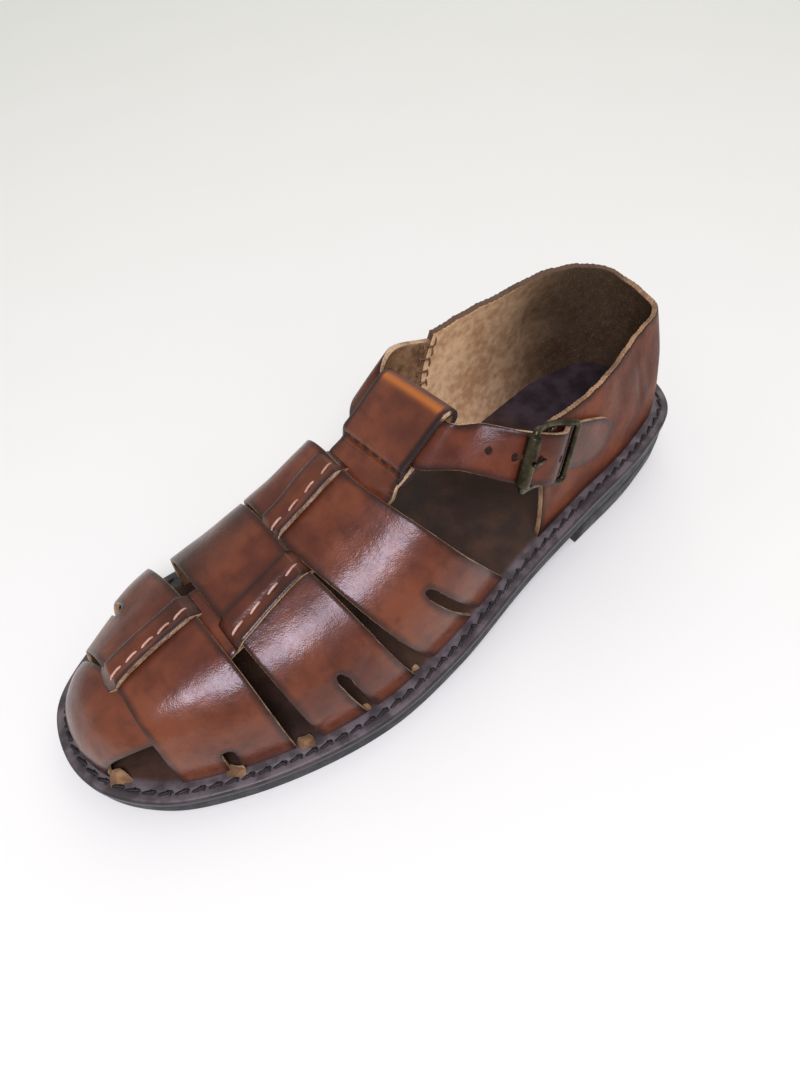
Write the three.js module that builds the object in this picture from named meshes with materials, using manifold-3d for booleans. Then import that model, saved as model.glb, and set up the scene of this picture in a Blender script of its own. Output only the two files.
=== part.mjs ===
// Leather cage sandal for the left foot. Millimetres, +X toward the toe, +Y to the outer side, +Z up.
import * as THREE from 'three';
import { mergeVertices } from 'three/addons/utils/BufferGeometryUtils.js';
import Module from 'manifold-3d';

const wasm = await Module();
wasm.setup();

// Driving sizes of sole and last
const soleLength = 290;
const ballWidth = 106;
const heelTop = 27;
const ballTop = 12;
const toeSpring = 2;
const boardThickness = 3.6;
const instepHeight = 70;
const collarHeight = 60;

// Driving sizes of the leather pieces
const strapWall = 2.2;
const strapWidth = 33;
const quarterWall = 2.4;
const ankleWall = 2;
const ankleWidth = 18;
const edgeMargin = 7.2;
const toeReach = 2.6;
const slotDepth = 1.8;
const slitWidth = 4.6;
const holeRadius = 1.7;
const holePitch = 9;
const loopLength = 21;

// Driving sizes of the sole unit
const heelLength = 78;
const heelTaper = 1.6;
const sideStep = 0.7;
const edgeRound = 0.5;
const trackWidth = 2.4;
const trackDepth = 1.6;
const trackPitch = 13;
const trackMargin = 9;

// Driving sizes of the buckle
const wireRadius = 1.25;
const rollerWall = 0.75;
const barSpacing = 13;
const barDrop = 2;
const cornerRadius = 1.9;
const prongRadius = 0.8;
const tabWall = 1.2;
const tabWidth = 11;

// Facets along the curved pieces
const crossFacets = 26;
const centreFacets = 30;
const wrapFacets = 36;
const loopFacets = 26;
const ribFacets = 12;
const ankleFacets = 60;
const lineSteps = 240;
const wireSides = 8;
const eyeFacets = 12;
const armFacets = 5;
const rollerSides = 14;
const foldSegments = 10;

// Fits
const gap = 0.3;
const fuse = 0.25;
const crossLift = 0.9;
const ribLift = crossLift + strapWall - fuse;
const featherInset = edgeMargin + strapWall + crossLift;

// Loop at the instep: the strap folds back under itself round the ankle strap
const loopRear = 0.437 * soleLength;
const loopFront = loopRear + loopLength;
const loopOverlap = 3;
const loopUnder = -strapWall / 2 + fuse;
const loopSpace = strapWall + ankleWall + 4 * gap;
const loopFold = loopSpace / 2;
const ankleLift = loopUnder + loopFold;
const loopFlatness = 0.6;
const loopTilt = 0.3;

// Edge of the sole seen from above, from the heel round the outer side, the toe and the inner side
const outlineRows = [
  { along: 0, out: 0 },
  { along: 0.03, out: 0.221 },
  { along: 0.125, out: 0.327 },
  { along: 0.26, out: 0.383 },
  { along: 0.397, out: 0.431 },
  { along: 0.533, out: 0.496 },
  { along: 0.653, out: 0.515 },
  { along: 0.755, out: 0.474 },
  { along: 0.859, out: 0.382 },
  { along: 0.936, out: 0.267 },
  { along: 0.987, out: 0.098 },
  { along: 1, out: -0.08 },
  { along: 0.979, out: -0.274 },
  { along: 0.908, out: -0.417 },
  { along: 0.814, out: -0.508 },
  { along: 0.709, out: -0.494 },
  { along: 0.586, out: -0.403 },
  { along: 0.447, out: -0.316 },
  { along: 0.291, out: -0.296 },
  { along: 0.136, out: -0.33 },
  { along: 0.03, out: -0.234 },
];

// Top of the leather board: 1 is the heel seat, 0 the ball
const boardRows = [
  { along: 0, rise: 1 },
  { along: 0.255, rise: 0.97 },
  { along: 0.345, rise: 0.8 },
  { along: 0.43, rise: 0.53 },
  { along: 0.55, rise: 0.17 },
  { along: 0.66, rise: 0 },
  { along: 0.8, rise: 0 },
  { along: 1, rise: 0 },
];

// Ridge of the last: height over the board, place of the ridge, roundness and outward swell of its sides
const lastRows = [
  { along: 0.345, rise: 1.18, ridge: -0.01, outer: 2.4, inner: 3.6, swell: 0.07 },
  { along: 0.43, rise: 1.035, ridge: -0.02, outer: 2.4, inner: 3.8, swell: 0.07 },
  { along: 0.517, rise: 0.815, ridge: -0.032, outer: 2.4, inner: 4, swell: 0.075 },
  { along: 0.62, rise: 0.672, ridge: -0.034, outer: 2.4, inner: 3.5, swell: 0.035 },
  { along: 0.724, rise: 0.571, ridge: -0.01, outer: 2.4, inner: 2.7, swell: 0 },
  { along: 0.81, rise: 0.5, ridge: 0.02, outer: 2.5, inner: 2.4, swell: 0 },
  { along: 0.88, rise: 0.465, ridge: 0.042, outer: 2.4, inner: 2.2, swell: 0 },
  { along: 0.94, rise: 0.44, ridge: 0, outer: 2.1, inner: 2.2, swell: 0 },
  { along: 1, rise: 0.43, ridge: -0.085, outer: 2.1, inner: 2.2, swell: 0 },
];

// Centre strap: middle line and width
const centreRows = [
  { along: 0.42, middle: -0.019, width: 1.03 },
  { along: 0.517, middle: -0.026, width: 1.01 },
  { along: 0.56, middle: -0.03, width: 0.97 },
  { along: 0.65, middle: -0.024, width: 0.83 },
  { along: 0.78, middle: 0.014, width: 0.88 },
  { along: 0.9, middle: 0.042, width: 0.88 },
];

// Cross straps: where the front and rear edges stand on the inner side, on the ridge and on the outer side
const crossRows = [
  {
    name: 'toe',
    front: { inner: 0.918, ridge: 0.897, outer: 0.897 },
    rear: { inner: 0.804, ridge: 0.783, outer: 0.77 },
    slit: { inner: 0.865, outer: 0.838, start: 0.74 },
  },
  {
    name: 'middle',
    front: { inner: 0.764, ridge: 0.763, outer: 0.735 },
    rear: { inner: 0.655, ridge: 0.655, outer: 0.601 },
    slit: { inner: 0.71, outer: 0.668, start: 0.62 },
  },
  {
    name: 'instep',
    front: { inner: 0.638, ridge: 0.652, outer: 0.566 },
    rear: { inner: 0.54, ridge: 0.546, outer: 0.428 },
    slit: { inner: 0.59, outer: 0.487, start: 0.58 },
  },
];

// Strips of the centre strap that pass over a cross strap: share of its width, and its two ends
const ribRows = [
  { from: 0, to: 0.34, front: 0.905, rear: 0.776 },
  { from: 0.62, to: 1, front: 0.77, rear: 0.648 },
  { from: 0, to: 0.37, front: 0.66, rear: 0.54 },
];

// Top edge of the heel wrap, from its inner front end round the heel to its outer front end
const collarRows = [
  { wrap: 0, along: 0.352, out: -0.27, rise: 1.01 },
  { wrap: 0.11, along: 0.262, out: -0.266, rise: 1.025 },
  { wrap: 0.22, along: 0.166, out: -0.252, rise: 1.01 },
  { wrap: 0.3, along: 0.09, out: -0.222, rise: 0.93 },
  { wrap: 0.36, along: 0.041, out: -0.155, rise: 0.82 },
  { wrap: 0.42, along: 0.028, out: -0.05, rise: 0.75 },
  { wrap: 0.47, along: 0.032, out: 0.035, rise: 0.735 },
  { wrap: 0.53, along: 0.058, out: 0.1, rise: 0.76 },
  { wrap: 0.62, along: 0.114, out: 0.15, rise: 0.81 },
  { wrap: 0.73, along: 0.185, out: 0.21, rise: 0.81 },
  { wrap: 0.86, along: 0.265, out: 0.26, rise: 0.84 },
  { wrap: 1, along: 0.352, out: 0.29, rise: 0.96 },
];
const quarterInnerFront = 0.25;
const quarterOuterFront = 0.352;
const quarterSwell = 1.8;
const noseReach = 20;
const noseLevel = 0.45;
const toeStart = 0.897;
const toeBase = { inner: -0.29, outer: 0.075 };
const domeStart = 0.79;

// Cubic curve through the rows of a table, without overshoot
function smooth(rows, by, key) {
  const x = rows.map((row) => row[by]);
  const y = rows.map((row) => row[key]);
  const steps = x.slice(1).map((value, i) => (y[i + 1] - y[i]) / (value - x[i]));
  const slopes = x.map((_, i) => {
    if (i === 0) return steps[0];
    if (i === x.length - 1) return steps[i - 1];
    if (steps[i - 1] * steps[i] <= 0) return 0;
    return (2 * steps[i - 1] * steps[i]) / (steps[i - 1] + steps[i]);
  });
  return (value) => {
    const inside = THREE.MathUtils.clamp(value, x[0], x[x.length - 1]);
    let i = 0;
    while (i < x.length - 2 && inside > x[i + 1]) i += 1;
    const span = x[i + 1] - x[i];
    const t = (inside - x[i]) / span;
    const blend = t * t * (3 - 2 * t);
    const bend = t * (1 - t);
    return y[i] + (y[i + 1] - y[i]) * blend + bend * span * ((1 - t) * slopes[i] - t * slopes[i + 1]);
  };
}

const boardRise = smooth(boardRows, 'along', 'rise');
const lastRise = smooth(lastRows, 'along', 'rise');
const lastRidge = smooth(lastRows, 'along', 'ridge');
const lastOuter = smooth(lastRows, 'along', 'outer');
const lastInner = smooth(lastRows, 'along', 'inner');
const lastSwell = smooth(lastRows, 'along', 'swell');
const centreMiddle = smooth(centreRows, 'along', 'middle');
const centreWidth = smooth(centreRows, 'along', 'width');

// Top face of the leather board over the floor
function boardTop(x) {
  const along = x / soleLength;
  const lift = toeSpring * Math.max(0, (along - 0.8) / 0.2) ** 2;
  return ballTop + (heelTop - ballTop) * boardRise(along) + lift;
}

// Point at a share of the length of a row of points
function pointAlong(points, share) {
  const lengths = [0];
  points.slice(1).forEach((point, i) => lengths.push(lengths[i] + point.distanceTo(points[i])));
  const target = share * lengths[lengths.length - 1];
  let i = 1;
  while (i < points.length - 1 && lengths[i] < target) i += 1;
  const t = (target - lengths[i - 1]) / (lengths[i] - lengths[i - 1]);
  return points[i - 1].clone().lerp(points[i], t);
}

// The sole's edge moved inward, as outer and inner side from heel to toe
function footprint(inset, toeward = 0) {
  const corners = outlineRows.map((row) => new THREE.Vector3(row.along * soleLength, row.out * ballWidth, 0));
  const curve = new THREE.CatmullRomCurve3(corners, true, 'centripetal');
  const dense = curve.getPoints(480).slice(0, -1);
  const count = dense.length;
  const moved = dense.map((point, i) => {
    const ahead = dense[(i + 1) % count].clone().sub(dense[(i + count - 1) % count]);
    const tip = THREE.MathUtils.smoothstep(point.x / soleLength, 0.9, 1);
    return point.clone().add(new THREE.Vector3(ahead.y, -ahead.x, 0).setLength(inset - toeward * tip));
  });
  const heel = moved.reduce((best, point, i) => (point.x < moved[best].x ? i : best), 0);
  const turned = moved.slice(heel).concat(moved.slice(0, heel));
  const toe = turned.reduce((best, point, i) => (point.x > turned[best].x ? i : best), 0);
  const outer = turned.slice(0, toe + 1);
  const inner = turned.slice(toe).concat(turned.slice(0, 1)).reverse();
  return { outer, inner, heel: turned[0], toe: turned[toe] };
}

// Sideways place of one side at a distance from the heel
function sideAt(points, x) {
  let i = 1;
  while (i < points.length - 1 && points[i].x < x) i += 1;
  const span = points[i].x - points[i - 1].x;
  const t = THREE.MathUtils.clamp((x - points[i - 1].x) / span, 0, 1);
  return THREE.MathUtils.lerp(points[i - 1].y, points[i].y, t);
}

const feather = footprint(featherInset, toeReach);

// Height of the last over the board, rounded down to the toe
function riseAt(x) {
  const start = domeStart * soleLength;
  const share = THREE.MathUtils.clamp((x - start) / (feather.toe.x - start), 0, 1);
  return instepHeight * lastRise(x / soleLength) * (1 - share ** 3) ** 0.45;
}

// Point of the last: turn is -1 at the inner edge of the sole, 0 on the ridge and 1 at the outer edge
function lastPoint(x, turn) {
  const along = x / soleLength;
  const outer = turn > 0;
  const reach = Math.min(Math.abs(turn), 1);
  const angle = reach * Math.PI * 0.5;
  const power = outer ? lastOuter(along) : lastInner(along);
  const radius = (Math.sin(angle) ** power + Math.cos(angle) ** power) ** (-1 / power);
  const ridge = lastRidge(along) * ballWidth;
  const edge = sideAt(outer ? feather.outer : feather.inner, x);
  const swell = lastSwell(along) * ballWidth * Math.sin(2 * angle) * (outer ? 0.2 : -1);
  const drop = (Math.abs(turn) - reach) * instepHeight;
  const y = ridge + (edge - ridge) * radius * Math.sin(angle) + swell;
  return new THREE.Vector3(x, y, boardTop(x) + riseAt(x) * radius * Math.cos(angle) - drop);
}

// Point of the last above or below a place seen from the top; the folded loop lies flatter across it
function lastOver(x, y) {
  const along = x / soleLength;
  const level = loopFlatness * (1 - THREE.MathUtils.smoothstep(x, loopFront, loopFront + loopLength));
  const ridge = lastRidge(along) * ballWidth;
  const outer = y > ridge;
  const edge = sideAt(outer ? feather.outer : feather.inner, x);
  const share = THREE.MathUtils.clamp((y - ridge) / (edge - ridge), 0, 1) * (1 - level);
  const power = outer ? lastOuter(along) : lastInner(along);
  const tilt = level * loopTilt * (y - ridge);
  return new THREE.Vector3(x, y, boardTop(x) + riseAt(x) * (1 - share ** power) ** (1 / power) + tilt);
}

// Outward direction of a surface given as a function of two shares
function outward(surface, u, v) {
  const step = 0.004;
  const alongU = surface(u + step, v).sub(surface(u - step, v));
  const alongV = surface(u, v + step).sub(surface(u, v - step));
  return alongV.cross(alongU).normalize();
}

// Closed solid between two grids of points, inner and outer
function gridSolid(outerFace, innerFace, countU, countV) {
  const positions = [];
  const index = [];
  const row = countV + 1;
  const layer = (countU + 1) * row;
  for (const face of [outerFace, innerFace]) {
    for (let i = 0; i <= countU; i += 1) {
      for (let j = 0; j <= countV; j += 1) positions.push(...face(i / countU, j / countV).toArray());
    }
  }
  const quad = (a, b, c, d) => index.push(a, b, c, a, c, d);
  for (let i = 0; i < countU; i += 1) {
    for (let j = 0; j < countV; j += 1) {
      const a = i * row + j;
      const b = a + row;
      quad(a, b, b + 1, a + 1);
      quad(layer + a, layer + a + 1, layer + b + 1, layer + b);
    }
    const near = i * row;
    const far = near + countV;
    quad(near, layer + near, layer + near + row, near + row);
    quad(far, far + row, layer + far + row, layer + far);
  }
  for (let j = 0; j < countV; j += 1) {
    const end = countU * row + j;
    quad(j, j + 1, layer + j + 1, layer + j);
    quad(end, layer + end, layer + end + 1, end + 1);
  }
  return solidFrom(positions, index);
}

// Manifold solid from points and triangles, turned right side out
function solidFrom(positions, index) {
  const geometry = new THREE.BufferGeometry();
  geometry.setAttribute('position', new THREE.Float32BufferAttribute(positions, 3));
  geometry.setIndex(index);
  return toSolid(geometry);
}

// Corner numbers of the triangles whose three corners differ
function wholeTriangles(index) {
  const kept = [];
  for (let k = 0; k < index.length; k += 3) {
    const [a, b, c] = [index[k], index[k + 1], index[k + 2]];
    if (a !== b && b !== c && c !== a) kept.push(a, b, c);
  }
  return kept;
}

function toSolid(geometry) {
  const bare = geometry.clone();
  bare.deleteAttribute('normal');
  bare.deleteAttribute('uv');
  const merged = mergeVertices(bare, 1e-4);
  const build = (triangles) => new wasm.Manifold(new wasm.Mesh({
    numProp: 3,
    vertProperties: new Float32Array(merged.attributes.position.array),
    triVerts: new Uint32Array(triangles),
  }));
  const triangles = wholeTriangles(merged.index.array);
  const points = merged.attributes.position;
  const corner = (k) => new THREE.Vector3().fromBufferAttribute(points, triangles[k]);
  let volume = 0;
  for (let k = 0; k < triangles.length; k += 3) volume += corner(k).dot(corner(k + 1).cross(corner(k + 2)));
  if (volume < 0) triangles.reverse();
  return build(triangles);
}

// Leather of a given wall on a surface: lift is the height of its flesh side over the surface
function leatherOn(surface, lift, wall, countU, countV) {
  const face = (height) => (u, v) => surface(u, v).addScaledVector(outward(surface, u, v), height(u, v));
  return gridSolid(face((u, v) => lift(u, v) + wall), face(lift), countU, countV);
}

// Sheet of one cross strap, grown by a margin: u runs over the foot, v from the rear to the front edge
function crossSurface(row, reach, margin) {
  const edge = (part, turn) => {
    const end = turn < 0 ? part.inner : part.outer;
    return THREE.MathUtils.lerp(part.ridge, end, Math.min(Math.abs(turn), 1) ** 1.7) * soleLength;
  };
  return (u, v) => {
    const turn = THREE.MathUtils.lerp(-reach, reach, u);
    const rear = edge(row.rear, turn) - margin;
    const front = edge(row.front, turn) + margin;
    return lastPoint(THREE.MathUtils.lerp(rear, front, v), turn);
  };
}

// Sheet of the centre strap: u runs from its inner to its outer edge, v from the loop to the toe and into the sole
const centreEnd = 0.97;
function centreSurface(from, to) {
  const foot = feather;
  const toeX = toeStart * soleLength;
  const start = loopFront - loopOverlap;
  const bend = (toeX - start) / (feather.toe.x - start);
  return (u, v) => {
    const across = THREE.MathUtils.lerp(from, to, u);
    const place = (x) => (centreMiddle(x / soleLength) * ballWidth
      + (across - 0.5) * centreWidth(x / soleLength) * strapWidth);
    const run = v / centreEnd;
    if (run < bend) {
      const x = start + run * (feather.toe.x - start);
      return lastOver(x, place(x));
    }
    const base = toeBasePoint(foot, across);
    const share = Math.sin(THREE.MathUtils.clamp((run - bend) / (1 - bend), 0, 1) * Math.PI * 0.5);
    const x = THREE.MathUtils.lerp(toeX, base.x, share);
    const point = lastOver(x, THREE.MathUtils.lerp(place(toeX), base.y, share));
    const sunk = Math.max(0, v - centreEnd) / (1 - centreEnd);
    if (run >= 1) point.z = boardTop(x) - sunk * slotDepth;
    return point;
  };
}

// Foot of the centre strap on the inner line of the toe
function toeBasePoint(edge, across) {
  const y = THREE.MathUtils.lerp(toeBase.inner, toeBase.outer, across) * ballWidth;
  const side = y > edge.toe.y ? edge.outer : edge.inner;
  let i = side.length - 1;
  while (i > 1 && Math.abs(side[i - 1].y - edge.toe.y) < Math.abs(y - edge.toe.y)) i -= 1;
  const t = THREE.MathUtils.clamp((y - side[i].y) / (side[i - 1].y - side[i].y), 0, 1);
  return side[i].clone().lerp(side[i - 1], t);
}

// Middle of the folded leather: u across the strap, v from the hidden end round the fold to the stitched row
function loopSurface(u, v) {
  const flat = 0.16;
  const turn = 0.32;
  const side = u - 0.5;
  const rise = (x, lift) => {
    const y = (centreMiddle(x / soleLength) * ballWidth) + side * centreWidth(x / soleLength) * strapWidth;
    const surface = (a, b) => lastOver(x + b, y + a);
    return surface(0, 0).addScaledVector(outward(surface, 0, 0), lift);
  };
  if (v < flat) {
    const x = THREE.MathUtils.lerp(loopFront + loopOverlap, loopRear + loopFold, v / flat);
    return rise(x, loopUnder);
  }
  if (v < flat + turn) {
    const angle = ((v - flat) / turn) * Math.PI;
    return rise(loopRear + loopFold * (1 - Math.sin(angle)), loopUnder + loopFold * (1 - Math.cos(angle)));
  }
  const share = (v - flat - turn) / (1 - flat - turn);
  const x = THREE.MathUtils.lerp(loopRear + loopFold, loopFront + loopOverlap, share);
  const fall = THREE.MathUtils.smoothstep(share, 0.84, 0.97);
  return rise(x, THREE.MathUtils.lerp(loopUnder + loopSpace, strapWall / 2, fall));
}

// Slit cut from the edge of the sole up into a cross strap, with a round end
function slitSolid(row, side) {
  const start = row.slit.start;
  const end = 1 + slotDepth / instepHeight + 0.02;
  const middle = (turn) => {
    const share = Math.abs(turn) ** 1.7;
    const root = THREE.MathUtils.lerp(row.rear.ridge, row.front.ridge, 0.5);
    return THREE.MathUtils.lerp(root, side < 0 ? row.slit.inner : row.slit.outer, share) * soleLength;
  };
  const surface = (u, v) => {
    const turn = side * THREE.MathUtils.lerp(start, end, side > 0 ? u : 1 - u);
    const share = side > 0 ? u : 1 - u;
    const half = (slitWidth / 2) * Math.min(1, Math.sqrt(Math.max(share, 0) * 6) + 0.15);
    return lastPoint(middle(turn) + THREE.MathUtils.lerp(-half, half, v), turn);
  };
  return leatherOn(surface, () => crossLift - strapWall, 3 * strapWall, 5, 1);
}

// The cage: centre strap and cross straps joined where they cross, with the woven strips raised
function cageSolid() {
  const reach = 1 + slotDepth / instepHeight;
  let cage = leatherOn(centreSurface(0, 1), () => 0, strapWall, 6, centreFacets);
  for (const row of crossRows) {
    let strap = leatherOn(crossSurface(row, reach, 0), () => crossLift, strapWall, crossFacets, 3);
    for (const side of [-1, 1]) strap = strap.subtract(slitSolid(row, side));
    cage = cage.add(strap);
  }
  for (const rib of ribRows) {
    const strip = centreSurface(rib.from, rib.to);
    const share = (along) => ((along * soleLength - loopFront + loopOverlap)
      / (feather.toe.x - loopFront + loopOverlap)) * centreEnd;
    const surface = (u, v) => strip(u, THREE.MathUtils.lerp(share(rib.rear), share(rib.front), v));
    const lift = (u, v) => ribLift * Math.min(1, Math.sin(v * Math.PI) * 3);
    cage = cage.add(leatherOn(surface, lift, strapWall, 1, ribFacets));
  }
  return cage.add(leatherOn(loopSurface, () => -strapWall / 2, strapWall, 4, loopFacets));
}

// Ring round the sole: the outer side from heel to toe, then the inner side back
function soleRing(inset, height, endX, count) {
  const edge = footprint(inset);
  const full = endX >= soleLength;
  const end = full ? edge.toe.x : endX;
  const stations = Array.from({ length: count + 1 }, (_, k) => {
    const share = full ? (1 - Math.cos((k / count) * Math.PI)) / 2 : 1 - Math.cos((k / count) * Math.PI * 0.5);
    return THREE.MathUtils.lerp(edge.heel.x, end, share);
  });
  const side = (points) => stations.map((x, k) => {
    const tip = k === 0 ? edge.heel : edge.toe;
    const y = k === 0 || (full && k === count) ? tip.y : sideAt(points, x);
    return new THREE.Vector3(x, y, height(x));
  });
  return { outer: side(edge.outer), inner: side(edge.inner) };
}

// Slab of the sole through rings from the bottom up
function soleSolid(levels, endX, count) {
  const rings = levels.map((level) => soleRing(level.inset, level.height, endX, count));
  const positions = [];
  const index = [];
  const size = 2 * (count + 1);
  rings.forEach((ring) => {
    ring.outer.concat(ring.inner.slice().reverse()).forEach((point) => positions.push(...point.toArray()));
  });
  for (let level = 0; level + 1 < rings.length; level += 1) {
    for (let k = 0; k < size; k += 1) {
      const a = level * size + k;
      const b = level * size + ((k + 1) % size);
      index.push(b, a, a + size, b, a + size, b + size);
    }
  }
  const cap = (base, up) => {
    for (let k = 0; k < count; k += 1) {
      const [a, b] = [base + k, base + k + 1];
      const [c, d] = [base + size - 2 - k, base + size - 1 - k];
      const corners = up ? [a, c, b, a, d, c] : [a, b, c, a, c, d];
      index.push(...corners);
    }
  };
  cap(0, false);
  cap((rings.length - 1) * size, true);
  return solidFrom(positions, index);
}

const rubberBottom = (x) => boardTop(x) - ballTop;

// Shallow groove across the tread, closed at both ends
function grooveSolid(x, floor) {
  const edge = footprint(trackMargin);
  const side = (u, at) => THREE.MathUtils.lerp(sideAt(edge.inner, at), sideAt(edge.outer, at), u);
  const face = (height) => (u, v) => {
    const at = x + THREE.MathUtils.lerp(-0.5, 0.5, v) * trackWidth;
    return new THREE.Vector3(at, side(u, at), floor(at) + height);
  };
  return gridSolid(face(trackDepth), face(-trackDepth), 1, 1);
}

// Rubber unit: sole of even thickness with the heel block under it
function outsoleSolid() {
  const above = (height) => (x) => rubberBottom(x) + height;
  const thickness = ballTop - boardThickness - gap;
  const sole = soleSolid([
    { inset: sideStep + edgeRound, height: above(0) },
    { inset: sideStep, height: above(edgeRound) },
    { inset: sideStep, height: above(thickness * 0.62) },
    { inset: sideStep / 3, height: above(thickness * 0.7) },
    { inset: sideStep / 3, height: above(thickness) },
  ], soleLength, 28);
  const heel = soleSolid([
    { inset: sideStep + heelTaper + edgeRound, height: () => 0 },
    { inset: sideStep + heelTaper, height: () => edgeRound },
    { inset: sideStep, height: above(0) },
    { inset: sideStep + 1, height: above(thickness / 2) },
  ], heelLength, 14);
  let unit = sole.add(heel);
  for (let x = trackPitch * 1.2; x < heelLength - trackPitch / 2; x += trackPitch) {
    unit = unit.subtract(grooveSolid(x, () => 0));
  }
  for (let x = soleLength * 0.52; x < soleLength * 0.93; x += trackPitch) {
    unit = unit.subtract(grooveSolid(x, rubberBottom));
  }
  return unit;
}

// Line of the heel wrap on the sole, from its inner front end round the heel to its outer front end
const wrapEdge = footprint(edgeMargin);
const wrapLine = [
  ...wrapEdge.inner.filter((point) => point.x < quarterInnerFront * soleLength).reverse(),
  ...wrapEdge.outer.filter((point) => point.x < quarterOuterFront * soleLength),
];
const collar = {
  along: smooth(collarRows, 'wrap', 'along'),
  out: smooth(collarRows, 'wrap', 'out'),
  rise: smooth(collarRows, 'wrap', 'rise'),
};

// Outer face of the heel wrap: u round the heel, v from the sole to the collar
function quarterSurface(u, v) {
  const base = pointAlong(wrapLine, u);
  base.z = boardTop(base.x);
  const level = Math.max(v, 0);
  const top = new THREE.Vector3(
    collar.along(u) * soleLength,
    collar.out(u) * ballWidth,
    boardTop(base.x) + collar.rise(u) * collarHeight,
  );
  const line = pointAlong(wrapLine, Math.min(u + 0.02, 1)).sub(pointAlong(wrapLine, Math.max(u - 0.02, 0)));
  const away = new THREE.Vector3(line.y, -line.x, 0).normalize();
  const point = base.clone().lerp(top, level);
  point.addScaledVector(away, -quarterSwell * 4 * level * (1 - level));
  const nose = Math.sin(Math.PI * Math.min(level, 1) ** (Math.log(0.5) / Math.log(noseLevel)));
  point.x += noseReach * nose * Math.max(0, 1 - u / 0.2) ** 2;
  point.z += Math.min(v, 0) * collarHeight;
  return point;
}

function quarterSolid() {
  const foot = slotDepth / collarHeight;
  const surface = (u, v) => quarterSurface(u, THREE.MathUtils.lerp(-foot, 1, v));
  return leatherOn(surface, () => -quarterWall, quarterWall, wrapFacets, 7);
}

// Leather board with a slot for every foot of the upper
function boardSolid() {
  let board = soleSolid([
    { inset: edgeRound, height: (x) => boardTop(x) - boardThickness },
    { inset: 0, height: (x) => boardTop(x) - boardThickness + edgeRound },
    { inset: 0, height: (x) => boardTop(x) - edgeRound },
    { inset: edgeRound, height: boardTop },
  ], soleLength, 28);
  const depth = 1 + (slotDepth + gap) / instepHeight;
  const grown = (surface, lift, wall, countU, countV) => (
    leatherOn(surface, () => lift - gap, wall + 2 * gap, countU, countV)
  );
  for (const row of crossRows) {
    board = board.subtract(grown(crossSurface(row, depth, gap), crossLift, strapWall, crossFacets, 3));
  }
  const side = gap / (strapWidth * centreWidth(toeStart));
  const toe = centreSurface(-side, 1 + side);
  const deeper = 1 + ((1 - centreEnd) * gap) / slotDepth;
  board = board.subtract(grown((u, v) => toe(u, v * deeper), 0, strapWall, 6, centreFacets));
  const ends = gap / (soleLength * (quarterInnerFront + quarterOuterFront));
  const foot = (slotDepth + gap) / collarHeight;
  const wrap = (u, v) => quarterSurface(
    THREE.MathUtils.lerp(-ends, 1 + ends, u),
    THREE.MathUtils.lerp(-foot, 1, v),
  );
  return board.subtract(grown(wrap, -quarterWall, quarterWall, wrapFacets, 7));
}

// Places on the heel wrap that the closed strap follows, from the buckle to its tip
const closureRows = [
  { wrap: 0.98, level: 0.83, width: 1 },
  { wrap: 0.86, level: 0.64, width: 0.98 },
  { wrap: 0.825, level: 0.585, width: 0.82 },
  { wrap: 0.8, level: 0.55, width: 0.45 },
];

// Free spans of the ankle strap beside the loop: places of its rear and its front edge
const spanRows = {
  inner: { rear: { along: 0.422, out: -0.25, rise: 1.3 }, front: { along: 0.469, out: -0.272, rise: 1.09 } },
  outer: { rear: { along: 0.42, out: 0.196, rise: 1.296 }, front: { along: 0.463, out: 0.238, rise: 1.155 } },
};
const loopPlaces = [-0.56, -0.25, 0.05, 0.3, 0.56];
const buttGap = 1.4;
const buckleAhead = 8;
const punchedHoles = [-1, 1, 2];

// Outer face of the heel wrap at the buckle, as a frame: ahead along the strap, up across it, away from the foot
function buckleFrame() {
  const [at, rear] = closureRows;
  const away = outward(quarterSurface, at.wrap, at.level);
  const spot = quarterSurface(at.wrap, at.level);
  const ahead = spot.clone().sub(quarterSurface(rear.wrap, rear.level)).projectOnPlane(away).normalize();
  const up = ahead.clone().cross(away);
  return { origin: spot.addScaledVector(ahead, buckleAhead), away, ahead, up };
}
const buckle = buckleFrame();
const barHeight = 2 * gap + 2 * prongRadius + wireRadius;
const frameHeight = barHeight + barDrop;
const rollerRadius = wireRadius + gap + rollerWall;
const half = ankleWall / 2;

function atBuckle(ahead, up, away) {
  return buckle.origin.clone()
    .addScaledVector(buckle.ahead, ahead)
    .addScaledVector(buckle.up, up)
    .addScaledVector(buckle.away, away);
}

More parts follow.
